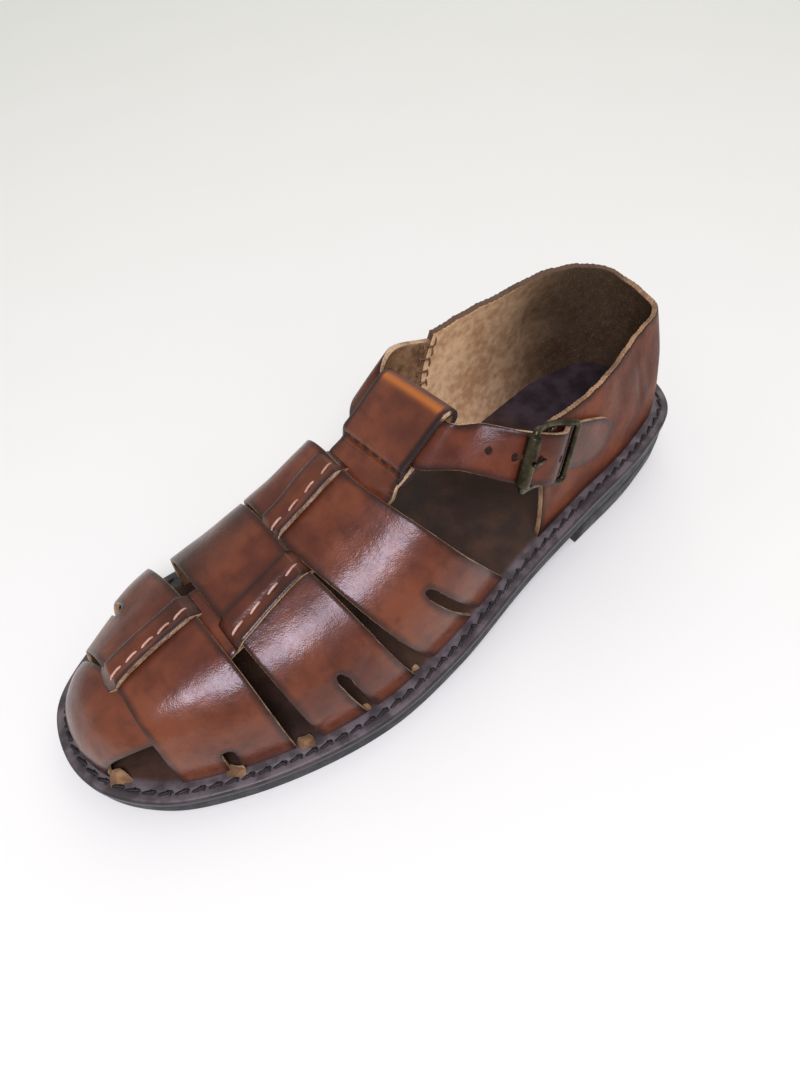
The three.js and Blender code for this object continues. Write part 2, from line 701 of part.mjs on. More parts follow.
// Both edges of the ankle strap, as curves through the same places
function ankleRails() {
  const pairs = [];
  const front = (v) => quarterSurface(0, v).addScaledVector(outward(quarterSurface, 0.002, v), -quarterWall / 2);
  const ahead = front(0.8).sub(quarterSurface(0.04, 0.8)).setZ(0).normalize();
  pairs.push([front(0.96), front(0.64)].map((edge) => edge.addScaledVector(ahead, buttGap)));
  const span = (row) => [row.rear, row.front].map((edge) => new THREE.Vector3(
    edge.along * soleLength,
    edge.out * ballWidth,
    edge.rise * instepHeight,
  ));
  pairs.push(span(spanRows.inner));
  for (const place of loopPlaces) {
    pairs.push([loopRear + loopFold, loopFront - loopOverlap - 1].map((x) => {
      const along = x / soleLength;
      const y = centreMiddle(along) * ballWidth + place * centreWidth(along) * strapWidth;
      const sheet = (a, b) => lastOver(x + b, y + a);
      return sheet(0, 0).addScaledVector(outward(sheet, 0, 0), ankleLift);
    }));
  }
  pairs.push(span(spanRows.outer));
  const across = (ahead, away) => [1, -1].map((side) => atBuckle(ahead, (side * ankleWidth) / 2, away));
  pairs.push(across(barSpacing, frameHeight - 1.2 * (rollerRadius + gap + half)));
  pairs.push(across(0, barHeight + wireRadius + 2 * gap + tabWall + half));
  pairs.push(across(-barSpacing, frameHeight - wireRadius - gap - half));
  closureRows.slice(1).forEach((row) => {
    const middle = quarterSurface(row.wrap, row.level);
    const away = outward(quarterSurface, row.wrap, row.level);
    middle.addScaledVector(away, gap + half + 0.4);
    const up = buckle.ahead.clone().cross(away).normalize();
    pairs.push([1, -1].map((side) => middle.clone().addScaledVector(up, (side * ankleWidth * row.width) / 2)));
  });
  return [0, 1].map((k) => new THREE.CatmullRomCurve3(pairs.map((pair) => pair[k]), false, 'centripetal'));
}

const rails = ankleRails();

// Middle of the ankle strap: u from its lower to its upper edge, v from the inner end to the tip
function ankleSurface(u, v) {
  const share = THREE.MathUtils.clamp(v, 0, 1);
  return rails[1].getPoint(share).lerp(rails[0].getPoint(share), u);
}

// Round bar along a path, with flat ends
function barSolid(points, radius, steps) {
  const path = points.length === 2 ? new THREE.LineCurve3(...points) : new THREE.CatmullRomCurve3(points);
  const section = new THREE.Shape().absarc(0, 0, radius, 0, 2 * Math.PI);
  return toSolid(new THREE.ExtrudeGeometry(section, { steps, extrudePath: path, curveSegments: foldSegments }));
}

// Ring of round wire through a closed row of points lying around one axis
function ringSolid(points, axis, radius, sides) {
  const positions = [];
  const index = [];
  const count = points.length;
  points.forEach((point, i) => {
    const ahead = points[(i + 1) % count].clone().sub(points[(i + count - 1) % count]).normalize();
    const side = ahead.clone().cross(axis).normalize();
    const top = side.clone().cross(ahead);
    for (let k = 0; k < sides; k += 1) {
      const angle = (k / sides) * 2 * Math.PI;
      const rim = point.clone().addScaledVector(side, radius * Math.cos(angle));
      positions.push(...rim.addScaledVector(top, radius * Math.sin(angle)).toArray());
      const next = ((i + 1) % count) * sides;
      const turn = (k + 1) % sides;
      index.push(i * sides + k, next + k, next + turn, i * sides + k, next + turn, i * sides + turn);
    }
  });
  return solidFrom(positions, index);
}

const armPlace = ankleWidth / 2 + gap + wireRadius + 0.5;

// Wire frame with the centre bar that carries the prong and the tab
function frameSolid() {
  const corner = (x, y, start) => [0, 1, 2, 3].map((k) => {
    const angle = start + (k / 3) * Math.PI * 0.5;
    return [x + cornerRadius * Math.cos(angle), y + cornerRadius * Math.sin(angle)];
  });
  const [x, y] = [barSpacing - cornerRadius, armPlace - cornerRadius];
  const flat = [
    ...corner(x, y, 0), [x * 0.5, armPlace], [0, armPlace], [-x * 0.5, armPlace],
    ...corner(-x, y, Math.PI * 0.5),
    ...corner(-x, -y, Math.PI), [-x * 0.5, -armPlace], [0, -armPlace], [x * 0.5, -armPlace],
    ...corner(x, -y, Math.PI * 1.5),
  ];
  const dip = (along) => frameHeight - barDrop * Math.cos((Math.min(Math.abs(along) / barSpacing, 1) * Math.PI) / 2);
  const ring = ringSolid(flat.map(([a, b]) => atBuckle(a, b, dip(a))), buckle.away, wireRadius, wireSides);
  return ring.add(barSolid([atBuckle(0, -armPlace, barHeight), atBuckle(0, armPlace, barHeight)], wireRadius * 0.96, 1));
}

// Sleeve that turns on the front bar of the frame
function rollerSolid() {
  const length = armPlace - cornerRadius - gap;
  const inside = wireRadius + gap;
  const profile = [
    new THREE.Vector2(inside, -length),
    new THREE.Vector2(rollerRadius, -length),
    new THREE.Vector2(rollerRadius, length),
    new THREE.Vector2(inside, length),
    new THREE.Vector2(inside, -length),
  ];
  const geometry = new THREE.LatheGeometry(profile, rollerSides);
  const place = new THREE.Matrix4().makeBasis(buckle.ahead, buckle.up, buckle.away);
  geometry.applyMatrix4(place.setPosition(atBuckle(barSpacing, 0, frameHeight)));
  return toSolid(geometry);
}

// Prong: an eye round the centre bar and an arm through the strap onto the roller, grown by a margin
function prongSolid(margin) {
  const radius = prongRadius + margin;
  const reach = wireRadius + gap + prongRadius;
  const eye = Array.from({ length: eyeFacets }, (_, k) => {
    const angle = (k / eyeFacets) * 2 * Math.PI;
    return atBuckle(reach * Math.cos(angle), 0, barHeight + reach * Math.sin(angle));
  });
  const rest = frameHeight + rollerRadius + gap + prongRadius;
  const arm = [
    atBuckle(reach * 0.55, 0, barHeight + reach * 0.72),
    atBuckle(barSpacing * 0.55, 0, rest * 0.84),
    atBuckle(barSpacing + rollerRadius * 0.4, 0, rest),
  ];
  return ringSolid(eye, buckle.up, radius, wireSides).add(barSolid(arm, radius, armFacets));
}

// Leather tab folded round the centre bar, under the strap, slotted for the prong
function tabSolid() {
  const inside = wireRadius + gap;
  const outside = inside + tabWall;
  const tail = barSpacing + wireRadius;
  const ring = new THREE.Shape().absarc(0, 0, outside, 0, 2 * Math.PI);
  ring.holes.push(new THREE.Path().absarc(0, 0, inside, 0, 2 * Math.PI));
  const low = gap - barHeight;
  const flap = new THREE.Shape([
    new THREE.Vector2(-tail, low),
    new THREE.Vector2(-1, low),
    new THREE.Vector2(-1, low + tabWall),
    new THREE.Vector2(-tail, low + tabWall),
  ]);
  const place = new THREE.Matrix4().makeBasis(buckle.ahead, buckle.away, buckle.up);
  const solid = (shape, width, from) => {
    const geometry = new THREE.ExtrudeGeometry(shape, { depth: width, bevelEnabled: false, curveSegments: 10 });
    geometry.translate(0, 0, from);
    return toSolid(geometry.applyMatrix4(place.clone().setPosition(atBuckle(0, 0, barHeight))));
  };
  const slot = prongRadius + gap;
  const opening = new THREE.Shape([
    new THREE.Vector2(-outside - slot, low - 1),
    new THREE.Vector2(outside + 1, low - 1),
    new THREE.Vector2(outside + 1, outside + 1),
    new THREE.Vector2(-outside - slot, outside + 1),
  ]);
  return solid(ring, tabWidth, -tabWidth / 2)
    .add(solid(flap, tabWidth, -tabWidth / 2))
    .subtract(solid(opening, 2 * slot, -slot));
}

// Ankle strap with its row of punched holes, one of them round the prong
function ankleSolid() {
  const line = Array.from({ length: lineSteps + 1 }, (_, k) => ankleSurface(0.5, k / lineSteps));
  const prongPlace = atBuckle(barSpacing * 0.5, 0, frameHeight);
  const start = line.reduce((best, point, k) => (
    point.distanceTo(prongPlace) < line[best].distanceTo(prongPlace) ? k : best
  ), 0);
  let strap = leatherOn(ankleSurface, () => -half, ankleWall, 2, ankleFacets).subtract(prongSolid(gap));
  for (const number of punchedHoles) {
    const step = Math.sign(number);
    let k = start;
    while (line[k].distanceTo(line[start]) < Math.abs(number) * holePitch) k -= step;
    const away = outward(ankleSurface, 0.5, k / lineSteps);
    const ends = [-1, 1].map((side) => line[k].clone().addScaledVector(away, side * ankleWall));
    strap = strap.subtract(barSolid(ends, holeRadius, 1));
  }
  return strap;
}

const pieces = [
  ['outsole', outsoleSolid(), 0x22262a, 0.6],
  ['insole_board', boardSolid(), 0x4a3c36, 0.6],
  ['cage_vamp', cageSolid(), 0x7a3f28, 0.45],
  ['heel_quarter', quarterSolid(), 0x7a3f28, 0.45],
  ['ankle_strap', ankleSolid(), 0x7a3f28, 0.45],
  ['buckle_frame', frameSolid(), 0x4f4a38, 0.4],
  ['buckle_roller', rollerSolid(), 0x4f4a38, 0.4],
  ['buckle_prong', prongSolid(0), 0x4f4a38, 0.4],
  ['buckle_tab', tabSolid(), 0x6b3824, 0.6],
];

// Largest connected body of a solid, without crumbs left by a cut
function mainBody(solid) {
  const bodies = solid.decompose();
  return bodies.reduce((best, body) => (body.volume() > best.volume() ? body : best), bodies[0]);
}

function meshOf(name, solid, color, roughness) {
  const mesh = mainBody(solid).getMesh();
  const geometry = new THREE.BufferGeometry();
  geometry.setAttribute('position', new THREE.BufferAttribute(mesh.vertProperties, 3));
  geometry.setIndex(new THREE.BufferAttribute(mesh.triVerts, 1));
  geometry.computeVertexNormals();
  const part = new THREE.Mesh(geometry, new THREE.MeshStandardMaterial({ color, roughness }));
  part.name = name;
  return part;
}

const shoe = new THREE.Group();
for (const piece of pieces) shoe.add(meshOf(...piece));
const box = new THREE.Box3().setFromObject(shoe);
const middle = box.getCenter(new THREE.Vector3());
shoe.position.set(-middle.x, -middle.y, -box.min.z);

const group = new THREE.Group();
group.add(shoe);

export default group;
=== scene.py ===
# Leather cage sandal for the left foot: the finished look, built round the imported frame.
# Sizes are millimetres in the shoe's own frame, with x measured from the back of the heel.
import logging
import math
from dataclasses import dataclass
from enum import Enum
from typing import Callable, Sequence

import bmesh
import bpy
import numpy as np
from mathutils import Matrix, Vector, kdtree


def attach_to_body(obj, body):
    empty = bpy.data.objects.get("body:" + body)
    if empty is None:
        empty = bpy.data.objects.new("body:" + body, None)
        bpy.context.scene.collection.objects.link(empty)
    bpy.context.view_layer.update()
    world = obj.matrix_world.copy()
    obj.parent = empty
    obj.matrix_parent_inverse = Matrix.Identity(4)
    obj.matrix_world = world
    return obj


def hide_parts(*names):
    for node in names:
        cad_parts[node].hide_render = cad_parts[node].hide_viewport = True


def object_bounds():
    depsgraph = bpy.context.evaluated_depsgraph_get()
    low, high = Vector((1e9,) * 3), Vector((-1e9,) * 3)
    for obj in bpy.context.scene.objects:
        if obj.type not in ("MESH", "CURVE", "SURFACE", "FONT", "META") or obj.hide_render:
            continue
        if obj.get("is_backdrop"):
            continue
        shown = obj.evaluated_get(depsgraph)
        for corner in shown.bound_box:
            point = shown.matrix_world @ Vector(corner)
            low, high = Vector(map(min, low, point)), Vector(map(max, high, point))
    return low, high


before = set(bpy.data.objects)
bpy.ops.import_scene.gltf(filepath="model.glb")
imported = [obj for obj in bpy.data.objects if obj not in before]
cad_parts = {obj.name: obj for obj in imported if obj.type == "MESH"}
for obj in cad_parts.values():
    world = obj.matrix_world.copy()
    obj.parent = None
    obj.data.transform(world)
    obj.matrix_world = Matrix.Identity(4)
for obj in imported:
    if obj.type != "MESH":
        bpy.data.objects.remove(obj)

LOG = logging.getLogger("sandal")
SHIFT = np.array([145.0199, 0.1185, 0.0])
BODY = "root"

Array = np.ndarray
Surface = Callable[[Array, Array], Array]


class LeatherFace(Enum):
    """Faces of a sheet of leather, as indices of its materials."""

    GRAIN = 0
    FLESH = 1
    CUT = 2


@dataclass(frozen=True)
class Sizes:
    """Named sizes of the sandal in millimetres."""

    sole_length: float = 290.0
    ball_width: float = 106.0
    heel_top: float = 27.0
    ball_top: float = 12.0
    toe_spring: float = 2.0
    board: float = 3.6
    instep_height: float = 70.0
    collar_height: float = 60.0
    strap_wall: float = 2.2
    strap_width: float = 33.0
    quarter_wall: float = 2.4
    ankle_wall: float = 2.0
    ankle_width: float = 18.0
    edge_margin: float = 7.2
    toe_reach: float = 2.6
    slot_depth: float = 1.8
    slit_width: float = 4.6
    loop_length: float = 21.0
    loop_overlap: float = 3.0
    heel_length: float = 78.0
    track_width: float = 2.4
    track_depth: float = 1.6
    track_pitch: float = 13.0
    track_margin: float = 9.0
    wire: float = 1.25
    roller_wall: float = 0.75
    bar_spacing: float = 13.0
    bar_drop: float = 2.0
    corner: float = 1.9
    prong: float = 0.8
    tab_wall: float = 1.2
    tab_width: float = 11.0
    hole_radius: float = 1.3
    hole_pitch: float = 9.0
    gap: float = 0.3
    fuse: float = 0.25
    cross_lift: float = 0.9
    stitch_pitch: float = 5.76
    stitch_inset: float = 3.9


S = Sizes()
# Where the folded loop begins, as a share of the length
LOOP_PLACE = 0.437
LOOP_REAR = LOOP_PLACE * S.sole_length
LOOP_FRONT = LOOP_REAR + S.loop_length
LOOP_UNDER = -S.strap_wall / 2 + S.fuse
LOOP_SPACE = S.strap_wall + S.ankle_wall + 4 * S.gap
LOOP_FOLD = LOOP_SPACE / 2
ANKLE_LIFT = LOOP_UNDER + LOOP_FOLD
RIB_LIFT = S.cross_lift + S.strap_wall - S.fuse
# Share of the centre strap's run at which it enters the board
CENTRE_END = 0.97
# Front edge of the toe strap on the ridge, as a share of the length
TOE_START = 0.897
# Both edges of the centre strap's foot at the toe, as shares of the ball width
TOE_BASE = (-0.29, 0.075)
# Front ends of the heel wrap's foot, inner and outer, as shares of the length
QUARTER_FRONT = (0.25, 0.352)
# How far the wrap's inner front edge bulges forward, and at what level
NOSE = (20.0, 0.45)
# How far the wrap swells outward halfway up
SWELL = 1.8

# Edge of the sole seen from above: share of the length, share of the ball width
OUTLINE = (
    (0, 0), (0.03, 0.221), (0.125, 0.327), (0.26, 0.383), (0.397, 0.431), (0.533, 0.496), (0.653, 0.515),
    (0.755, 0.474), (0.859, 0.382), (0.936, 0.267), (0.987, 0.098), (1, -0.08), (0.979, -0.274),
    (0.908, -0.417), (0.814, -0.508), (0.709, -0.494), (0.586, -0.403), (0.447, -0.316),
    (0.291, -0.296), (0.136, -0.33), (0.03, -0.234),
)
# Top of the board: along, rise from the ball (0) to the heel seat (1)
BOARD_ROWS = ((0, 1), (0.255, 0.97), (0.345, 0.8), (0.43, 0.53), (0.55, 0.17), (0.66, 0), (0.8, 0), (1, 0))
# Last: along, rise, ridge, roundness of the outer and the inner side, swell
LAST_ROWS = (
    (0.345, 1.18, -0.01, 2.4, 3.6, 0.07), (0.43, 1.035, -0.02, 2.4, 3.8, 0.07),
    (0.517, 0.815, -0.032, 2.4, 4, 0.075), (0.62, 0.672, -0.034, 2.4, 3.5, 0.035),
    (0.724, 0.571, -0.01, 2.4, 2.7, 0), (0.81, 0.5, 0.02, 2.5, 2.4, 0), (0.88, 0.465, 0.042, 2.4, 2.2, 0),
    (0.94, 0.44, 0, 2.1, 2.2, 0), (1, 0.43, -0.085, 2.1, 2.2, 0),
)
# Centre strap: along, middle line, width
CENTRE_ROWS = (
    (0.42, -0.019, 1.03), (0.517, -0.026, 1.01), (0.56, -0.03, 0.97), (0.65, -0.024, 0.83),
    (0.78, 0.014, 0.88), (0.9, 0.042, 0.88),
)
# Collar of the heel wrap: wrap, along, out, rise
COLLAR_ROWS = (
    (0, 0.352, -0.27, 1.01), (0.11, 0.262, -0.266, 1.025), (0.22, 0.166, -0.252, 1.01),
    (0.3, 0.09, -0.222, 0.93), (0.36, 0.041, -0.155, 0.82), (0.42, 0.028, -0.05, 0.75),
    (0.47, 0.032, 0.035, 0.735), (0.53, 0.058, 0.1, 0.76), (0.62, 0.114, 0.15, 0.81),
    (0.73, 0.185, 0.21, 0.81), (0.86, 0.265, 0.26, 0.84), (1, 0.352, 0.29, 0.96),
)


@dataclass(frozen=True)
class CrossRow:
    """One cross strap: shares of the length at the inner edge, the ridge and the outer edge.

    The slits of the inner and the outer end have their line at the sole's edge and the turn of their top.
    """

    name: str
    front: tuple[float, float, float]
    rear: tuple[float, float, float]
    slit: tuple[float, float]
    slit_top: tuple[float, float]


CROSS_ROWS = (
    CrossRow("toe", (0.918, 0.897, 0.897), (0.804, 0.783, 0.77), (0.865, 0.838), (0.5, 0.74)),
    CrossRow("middle", (0.764, 0.763, 0.735), (0.655, 0.655, 0.601), (0.71, 0.668), (0.62, 0.62)),
    CrossRow("instep", (0.638, 0.652, 0.566), (0.54, 0.546, 0.428), (0.59, 0.487), (0.58, 0.58)),
)


@dataclass(frozen=True)
class RibRow:
    """A strip of the centre strap that passes over a cross strap, with its stitched line."""

    name: str
    start: float
    end: float
    front: float
    rear: float
    stitch: float


RIB_ROWS = (
    RibRow("toe", 0.0, 0.34, 0.905, 0.776, 0.62),
    RibRow("middle", 0.62, 1.0, 0.77, 0.648, 0.62),
    RibRow("instep", 0.0, 0.37, 0.66, 0.54, 0.62),
)

# Closed strap on the heel wrap: wrap, level, width
CLOSURE_ROWS = ((0.98, 0.83, 1), (0.86, 0.64, 0.98), (0.825, 0.585, 0.82), (0.8, 0.55, 0.45))
# Raw strap ends beside the slots: two corners on the board, two over them, as along, out and rise
TONGUES = (
    ("centre", ((281.9, 11.0, 0.1), (274.4, 14.2, 0.1), (279.4, 7.6, 2.8), (275.4, 9.4, 1.9))),
    ("slit", ((248.3, 34.1, 0.1), (242.9, 37.9, 0.1), (246.7, 30.7, 2.0), (240.7, 36.7, 1.6))),
    ("toe", ((222.7, 42.2, 0.1), (217.8, 44.6, 0.1), (223.1, 39.1, 2.2), (215.8, 41.1, 1.8))),
    ("middle", ((197.2, 45.3, 0.2), (194.2, 46.3, 0.2), (196.3, 43.7, 1.4), (193.8, 44.7, 1.4))),
    ("instep", ((173.9, 45.1, 0.2), (170.9, 45.6, 0.2), (173.5, 44.1, 1.4), (171.0, 44.6, 1.4))),
)
# Free spans of the ankle strap: rear and front edge as along, out and rise
SPAN_INNER = ((0.422, -0.25, 1.3), (0.469, -0.272, 1.09))
SPAN_OUTER = ((0.42, 0.196, 1.296), (0.463, 0.238, 1.155))
# Places across the loop that the ankle strap is led through
LOOP_PLACES = (-0.56, -0.25, 0.05, 0.3, 0.56)
# Gap between strap and wrap at the inner seam
BUTT_GAP = 0.35
# How far the middle of the buckle is ahead of its closure row
BUCKLE_AHEAD = 8.0
# Punched holes, counted from the prong's own towards the loop
HOLE_NUMBERS = (-1, 1, 2)
# Tread: first groove and number of grooves, under the heel and under the forefoot
GROOVES = ((15.6, 5), (150.8, 10))
# Half the run of a groove's side, from its edge to its floor
GROOVE_STEP = 0.2
# How far a stitch may turn out of its row's slant, in radians
STRAY = 0.07
# Waves of hand-worked unevenness: along and across, in radians a millimetre
WAVES = ((0.09, 0.05), (-0.06, 0.11), (0.17, -0.12), (0.21, 0.19), (-0.33, 0.27))


class Profile:
    """Smooth curve through table rows that never overshoots them."""

    def __init__(self, xs: Sequence[float], ys: Sequence[float]) -> None:
        """Args:
            xs: places, rising.
            ys: values at those places.
        """
        self.x = np.array(xs, float)
        self.y = np.array(ys, float)
        steps = np.diff(self.y) / np.diff(self.x)
        slopes = np.concatenate([steps[:1], np.zeros(len(steps) - 1), steps[-1:]])
        for i in range(1, len(steps)):
            a, b = steps[i - 1], steps[i]
            slopes[i] = 0.0 if a * b <= 0 else 2 * a * b / (a + b)
        self.slope = slopes

    def __call__(self, value: Array | float) -> Array:
        """Returns: the curve's values at the given places."""
        inside = np.clip(value, self.x[0], self.x[-1])
        i = np.clip(np.searchsorted(self.x, inside, side="left") - 1, 0, len(self.x) - 2)
        span = self.x[i + 1] - self.x[i]
        t = (inside - self.x[i]) / span
        blend = t * t * (3 - 2 * t)
        bend = t * (1 - t)
        low, high = self.y[i], self.y[i + 1]
        return low + (high - low) * blend + bend * span * ((1 - t) * self.slope[i] - t * self.slope[i + 1])


def profiles(rows: Sequence[Sequence[float]]) -> list[Profile]:
    """Args:
        rows: table rows whose first column is the place.

    Returns: one curve for each other column.
    """
    columns = list(zip(*rows))
    return [Profile(columns[0], column) for column in columns[1:]]


class Spline:
    """Centripetal curve through points, as the frame's own source draws it."""

    def __init__(self, points: Sequence[Sequence[float]], closed: bool = False) -> None:
        """Args:
            points: places the curve passes through.
            closed: whether it returns to its start.
        """
        p = np.array(points, float)
        self.closed = closed
        if closed:
            self.p = np.concatenate([p[-1:], p, p[:2]])
            self.count = len(p)
        else:
            self.p = np.concatenate([2 * p[:1] - p[1:2], p, 2 * p[-1:] - p[-2:-1]])
            self.count = len(p) - 1

    def __call__(self, share: Array) -> Array:
        """Returns: points at shares 0 to 1 of the curve's parameter."""
        at = np.clip(share, 0, 1) * self.count
        i = np.minimum(np.floor(at).astype(int), self.count - 1)
        t = (at - i)[..., None]
        p0, p1, p2, p3 = (self.p[i + k] for k in range(4))
        d0, d1, d2 = (
            np.maximum(np.sum((b - a) ** 2, axis=-1), 1e-8)[..., None] ** 0.25
            for a, b in ((p0, p1), (p1, p2), (p2, p3))
        )
        m1 = ((p1 - p0) / d0 - (p2 - p0) / (d0 + d1) + (p2 - p1) / d1) * d1
        m2 = ((p2 - p1) / d1 - (p3 - p1) / (d1 + d2) + (p3 - p2) / d2) * d1
        return p1 + m1 * t + (-3 * p1 + 3 * p2 - 2 * m1 - m2) * t**2 + (2 * p1 - 2 * p2 + m1 + m2) * t**3


def smoothstep(value: Array, low: float, high: float) -> Array:
    """Returns: 0 below low, 1 above high and a soft step between them."""
    t = np.clip((value - low) / (high - low), 0, 1)
    return t * t * (3 - 2 * t)


def unit(vector: Array) -> Array:
    """Returns: the vectors at length one."""
    return vector / np.maximum(np.linalg.norm(vector, axis=-1, keepdims=True), 1e-9)


def stack(*parts: Array) -> Array:
    """Returns: the parts as the components of one array of points."""
    return np.stack(np.broadcast_arrays(*parts), axis=-1)


def outward(surface: Surface, u: Array, v: Array, step: float = 0.004) -> Array:
    """Args:
        surface: points for two shares.
        u: first share.
        v: second share.
        step: how far apart the slopes are taken.

    Returns: unit vectors away from the foot.
    """
    along_u = surface(u + step, v) - surface(u - step, v)
    along_v = surface(u, v + step) - surface(u, v - step)
    return unit(np.cross(along_v, along_u))


def ripple(x: Array, y: Array, seed: float) -> Array:
    """Returns: soft unevenness between about -1 and 1, for hand-worked leather."""
    value = np.zeros(np.broadcast(x, y).shape)
    for k, (a, b) in enumerate(WAVES):
        value = value + np.sin(a * x + b * y + seed * (k + 1.7)) / (1 + 0.7 * k)
    return value / 2.4


def mound(value: Array) -> Array:
    """Returns: 1 at zero, falling softly to 0 on both sides."""
    return np.exp(-(value**2))


def circle(sides: int) -> Array:
    """Returns: angles that divide a full turn."""
    return np.arange(sides) / sides * 2 * np.pi


def distances(points: Array, targets: Array) -> Array:
    """Returns: how far each point is from the nearest of the targets."""
    tree = kdtree.KDTree(max(len(targets), 1))
    for k, target in enumerate(targets):
        tree.insert(target, k)
    tree.balance()
    return np.array([tree.find(point)[2] for point in points])


def tube_faces(rings: int, sides: int, closed: bool = False) -> list[tuple[int, ...]]:
    """Args:
        rings: number of rings of vertices.
        sides: vertices of each ring.
        closed: whether the last ring meets the first.

    Returns: the quads between the rings, and two caps where it stays open.
    """
    faces: list[tuple[int, ...]] = []
    for i in range(rings if closed else rings - 1):
        for k in range(sides):
            j, n = (i + 1) % rings, (k + 1) % sides
            faces.append((i * sides + k, i * sides + n, j * sides + n, j * sides + k))
    if not closed:
        faces += [tuple(range(sides)), tuple(range((rings - 1) * sides, rings * sides))[::-1]]
    return faces


class Footprint:
    """The sole's edge moved inward by an inset, as an outer and an inner side."""

    CURVE = Spline([(a * S.sole_length, b * S.ball_width) for a, b in OUTLINE], closed=True)
    STEPS = 960

    def __init__(self, inset: float, toeward: float = 0.0) -> None:
        """Args:
            inset: distance inside the edge.
            toeward: part of it given back at the toe.
        """
        dense = self.edge()
        ahead = np.roll(dense, -1, 0) - np.roll(dense, 1, 0)
        length = inset - toeward * smoothstep(dense[:, 0] / S.sole_length, 0.9, 1)
        moved = dense + unit(np.stack([ahead[:, 1], -ahead[:, 0]], 1)) * length[:, None]
        moved = np.roll(moved, -int(np.argmin(moved[:, 0])), 0)
        toe = int(np.argmax(moved[:, 0]))
        self.outer = moved[: toe + 1]
        self.inner = np.concatenate([moved[toe:], moved[:1]])[::-1]
        self.heel, self.toe = moved[0], moved[toe]

    @classmethod
    def edge(cls) -> Array:
        """Returns: close points round the sole's own edge."""
        return cls.CURVE(np.arange(cls.STEPS) / cls.STEPS)

    def side(self, x: Array, outer: bool) -> Array:
        """Returns: sideways place of one side at distances from the heel."""
        points = self.outer if outer else self.inner
        return np.interp(x, points[:, 0], points[:, 1])


class Last:
    """The foot form that the upper is laid on."""

    SPRING_START = 0.8
    SPRING_RUN = 0.2
    DOME_START = 0.79
    DOME_POWER = 0.45
    OUTER_SWELL = 0.2
    LOOP_FLATNESS = 0.6
    LOOP_TILT = 0.3

    def __init__(self) -> None:
        """Draws the curves of the last from its tables."""
        self.feather = Footprint(S.edge_margin + S.strap_wall + S.cross_lift, S.toe_reach)
        self.board_rise = profiles(BOARD_ROWS)[0]
        self.rise, self.ridge, self.outer, self.inner, self.swell = profiles(LAST_ROWS)
        self.middle, self.width = profiles(CENTRE_ROWS)

    def board(self, x: Array) -> Array:
        """Returns: height of the board's top over the floor."""
        along = x / S.sole_length
        lift = S.toe_spring * np.maximum(0, (along - self.SPRING_START) / self.SPRING_RUN) ** 2
        return S.ball_top + (S.heel_top - S.ball_top) * self.board_rise(along) + lift

    def height(self, x: Array) -> Array:
        """Returns: height of the ridge over the board."""
        start = self.DOME_START * S.sole_length
        share = np.clip((x - start) / (self.feather.toe[0] - start), 0, 1)
        return S.instep_height * self.rise(x / S.sole_length) * (1 - share**3) ** self.DOME_POWER

    def point(self, x: Array, turn: Array) -> Array:
        """Args:
            x: distance from the heel.
            turn: -1 at the inner edge of the sole, 0 on the ridge, 1 at the outer edge.

        Returns: points of the last, straight down beyond the edges.
        """
        x, turn = np.broadcast_arrays(np.asarray(x, float), np.asarray(turn, float))
        along = x / S.sole_length
        outer = turn > 0
        reach = np.minimum(np.abs(turn), 1)
        angle = reach * np.pi / 2
        power = np.where(outer, self.outer(along), self.inner(along))
        sine, cosine = np.sin(angle), np.maximum(np.cos(angle), 0)
        radius = (sine**power + cosine**power) ** (-1 / power)
        ridge = self.ridge(along) * S.ball_width
        edge = np.where(outer, self.feather.side(x, True), self.feather.side(x, False))
        swell = self.swell(along) * S.ball_width * np.sin(2 * angle) * np.where(outer, self.OUTER_SWELL, -1)
        drop = (np.abs(turn) - reach) * S.instep_height
        y = ridge + (edge - ridge) * radius * sine + swell
        return stack(x, y, self.board(x) + self.height(x) * radius * cosine - drop)

    def over(self, x: Array, y: Array) -> Array:
        """Returns: points of the last at places seen from the top, flatter under the folded loop."""
        x, y = np.broadcast_arrays(np.asarray(x, float), np.asarray(y, float))
        along = x / S.sole_length
        level = self.LOOP_FLATNESS * (1 - smoothstep(x, LOOP_FRONT, LOOP_FRONT + S.loop_length))
        ridge = self.ridge(along) * S.ball_width
        outer = y > ridge
        edge = np.where(outer, self.feather.side(x, True), self.feather.side(x, False))
        share = np.clip((y - ridge) / (edge - ridge), 0, 1) * (1 - level)
        power = np.where(outer, self.outer(along), self.inner(along))
        tilt = level * self.LOOP_TILT * (y - ridge)
        return stack(x, y, self.board(x) + self.height(x) * (1 - share**power) ** (1 / power) + tilt)

    def centre(self, x: Array, across: Array) -> Array:
        """Returns: sideways place of a share across the centre strap."""
        along = x / S.sole_length
        return self.middle(along) * S.ball_width + (across - 0.5) * self.width(along) * S.strap_width


LAST = Last()


def to_frame(points: Array) -> Array:
    """Returns: points in metres of the row frame."""
    return (np.asarray(points, float) - SHIFT) / 1000


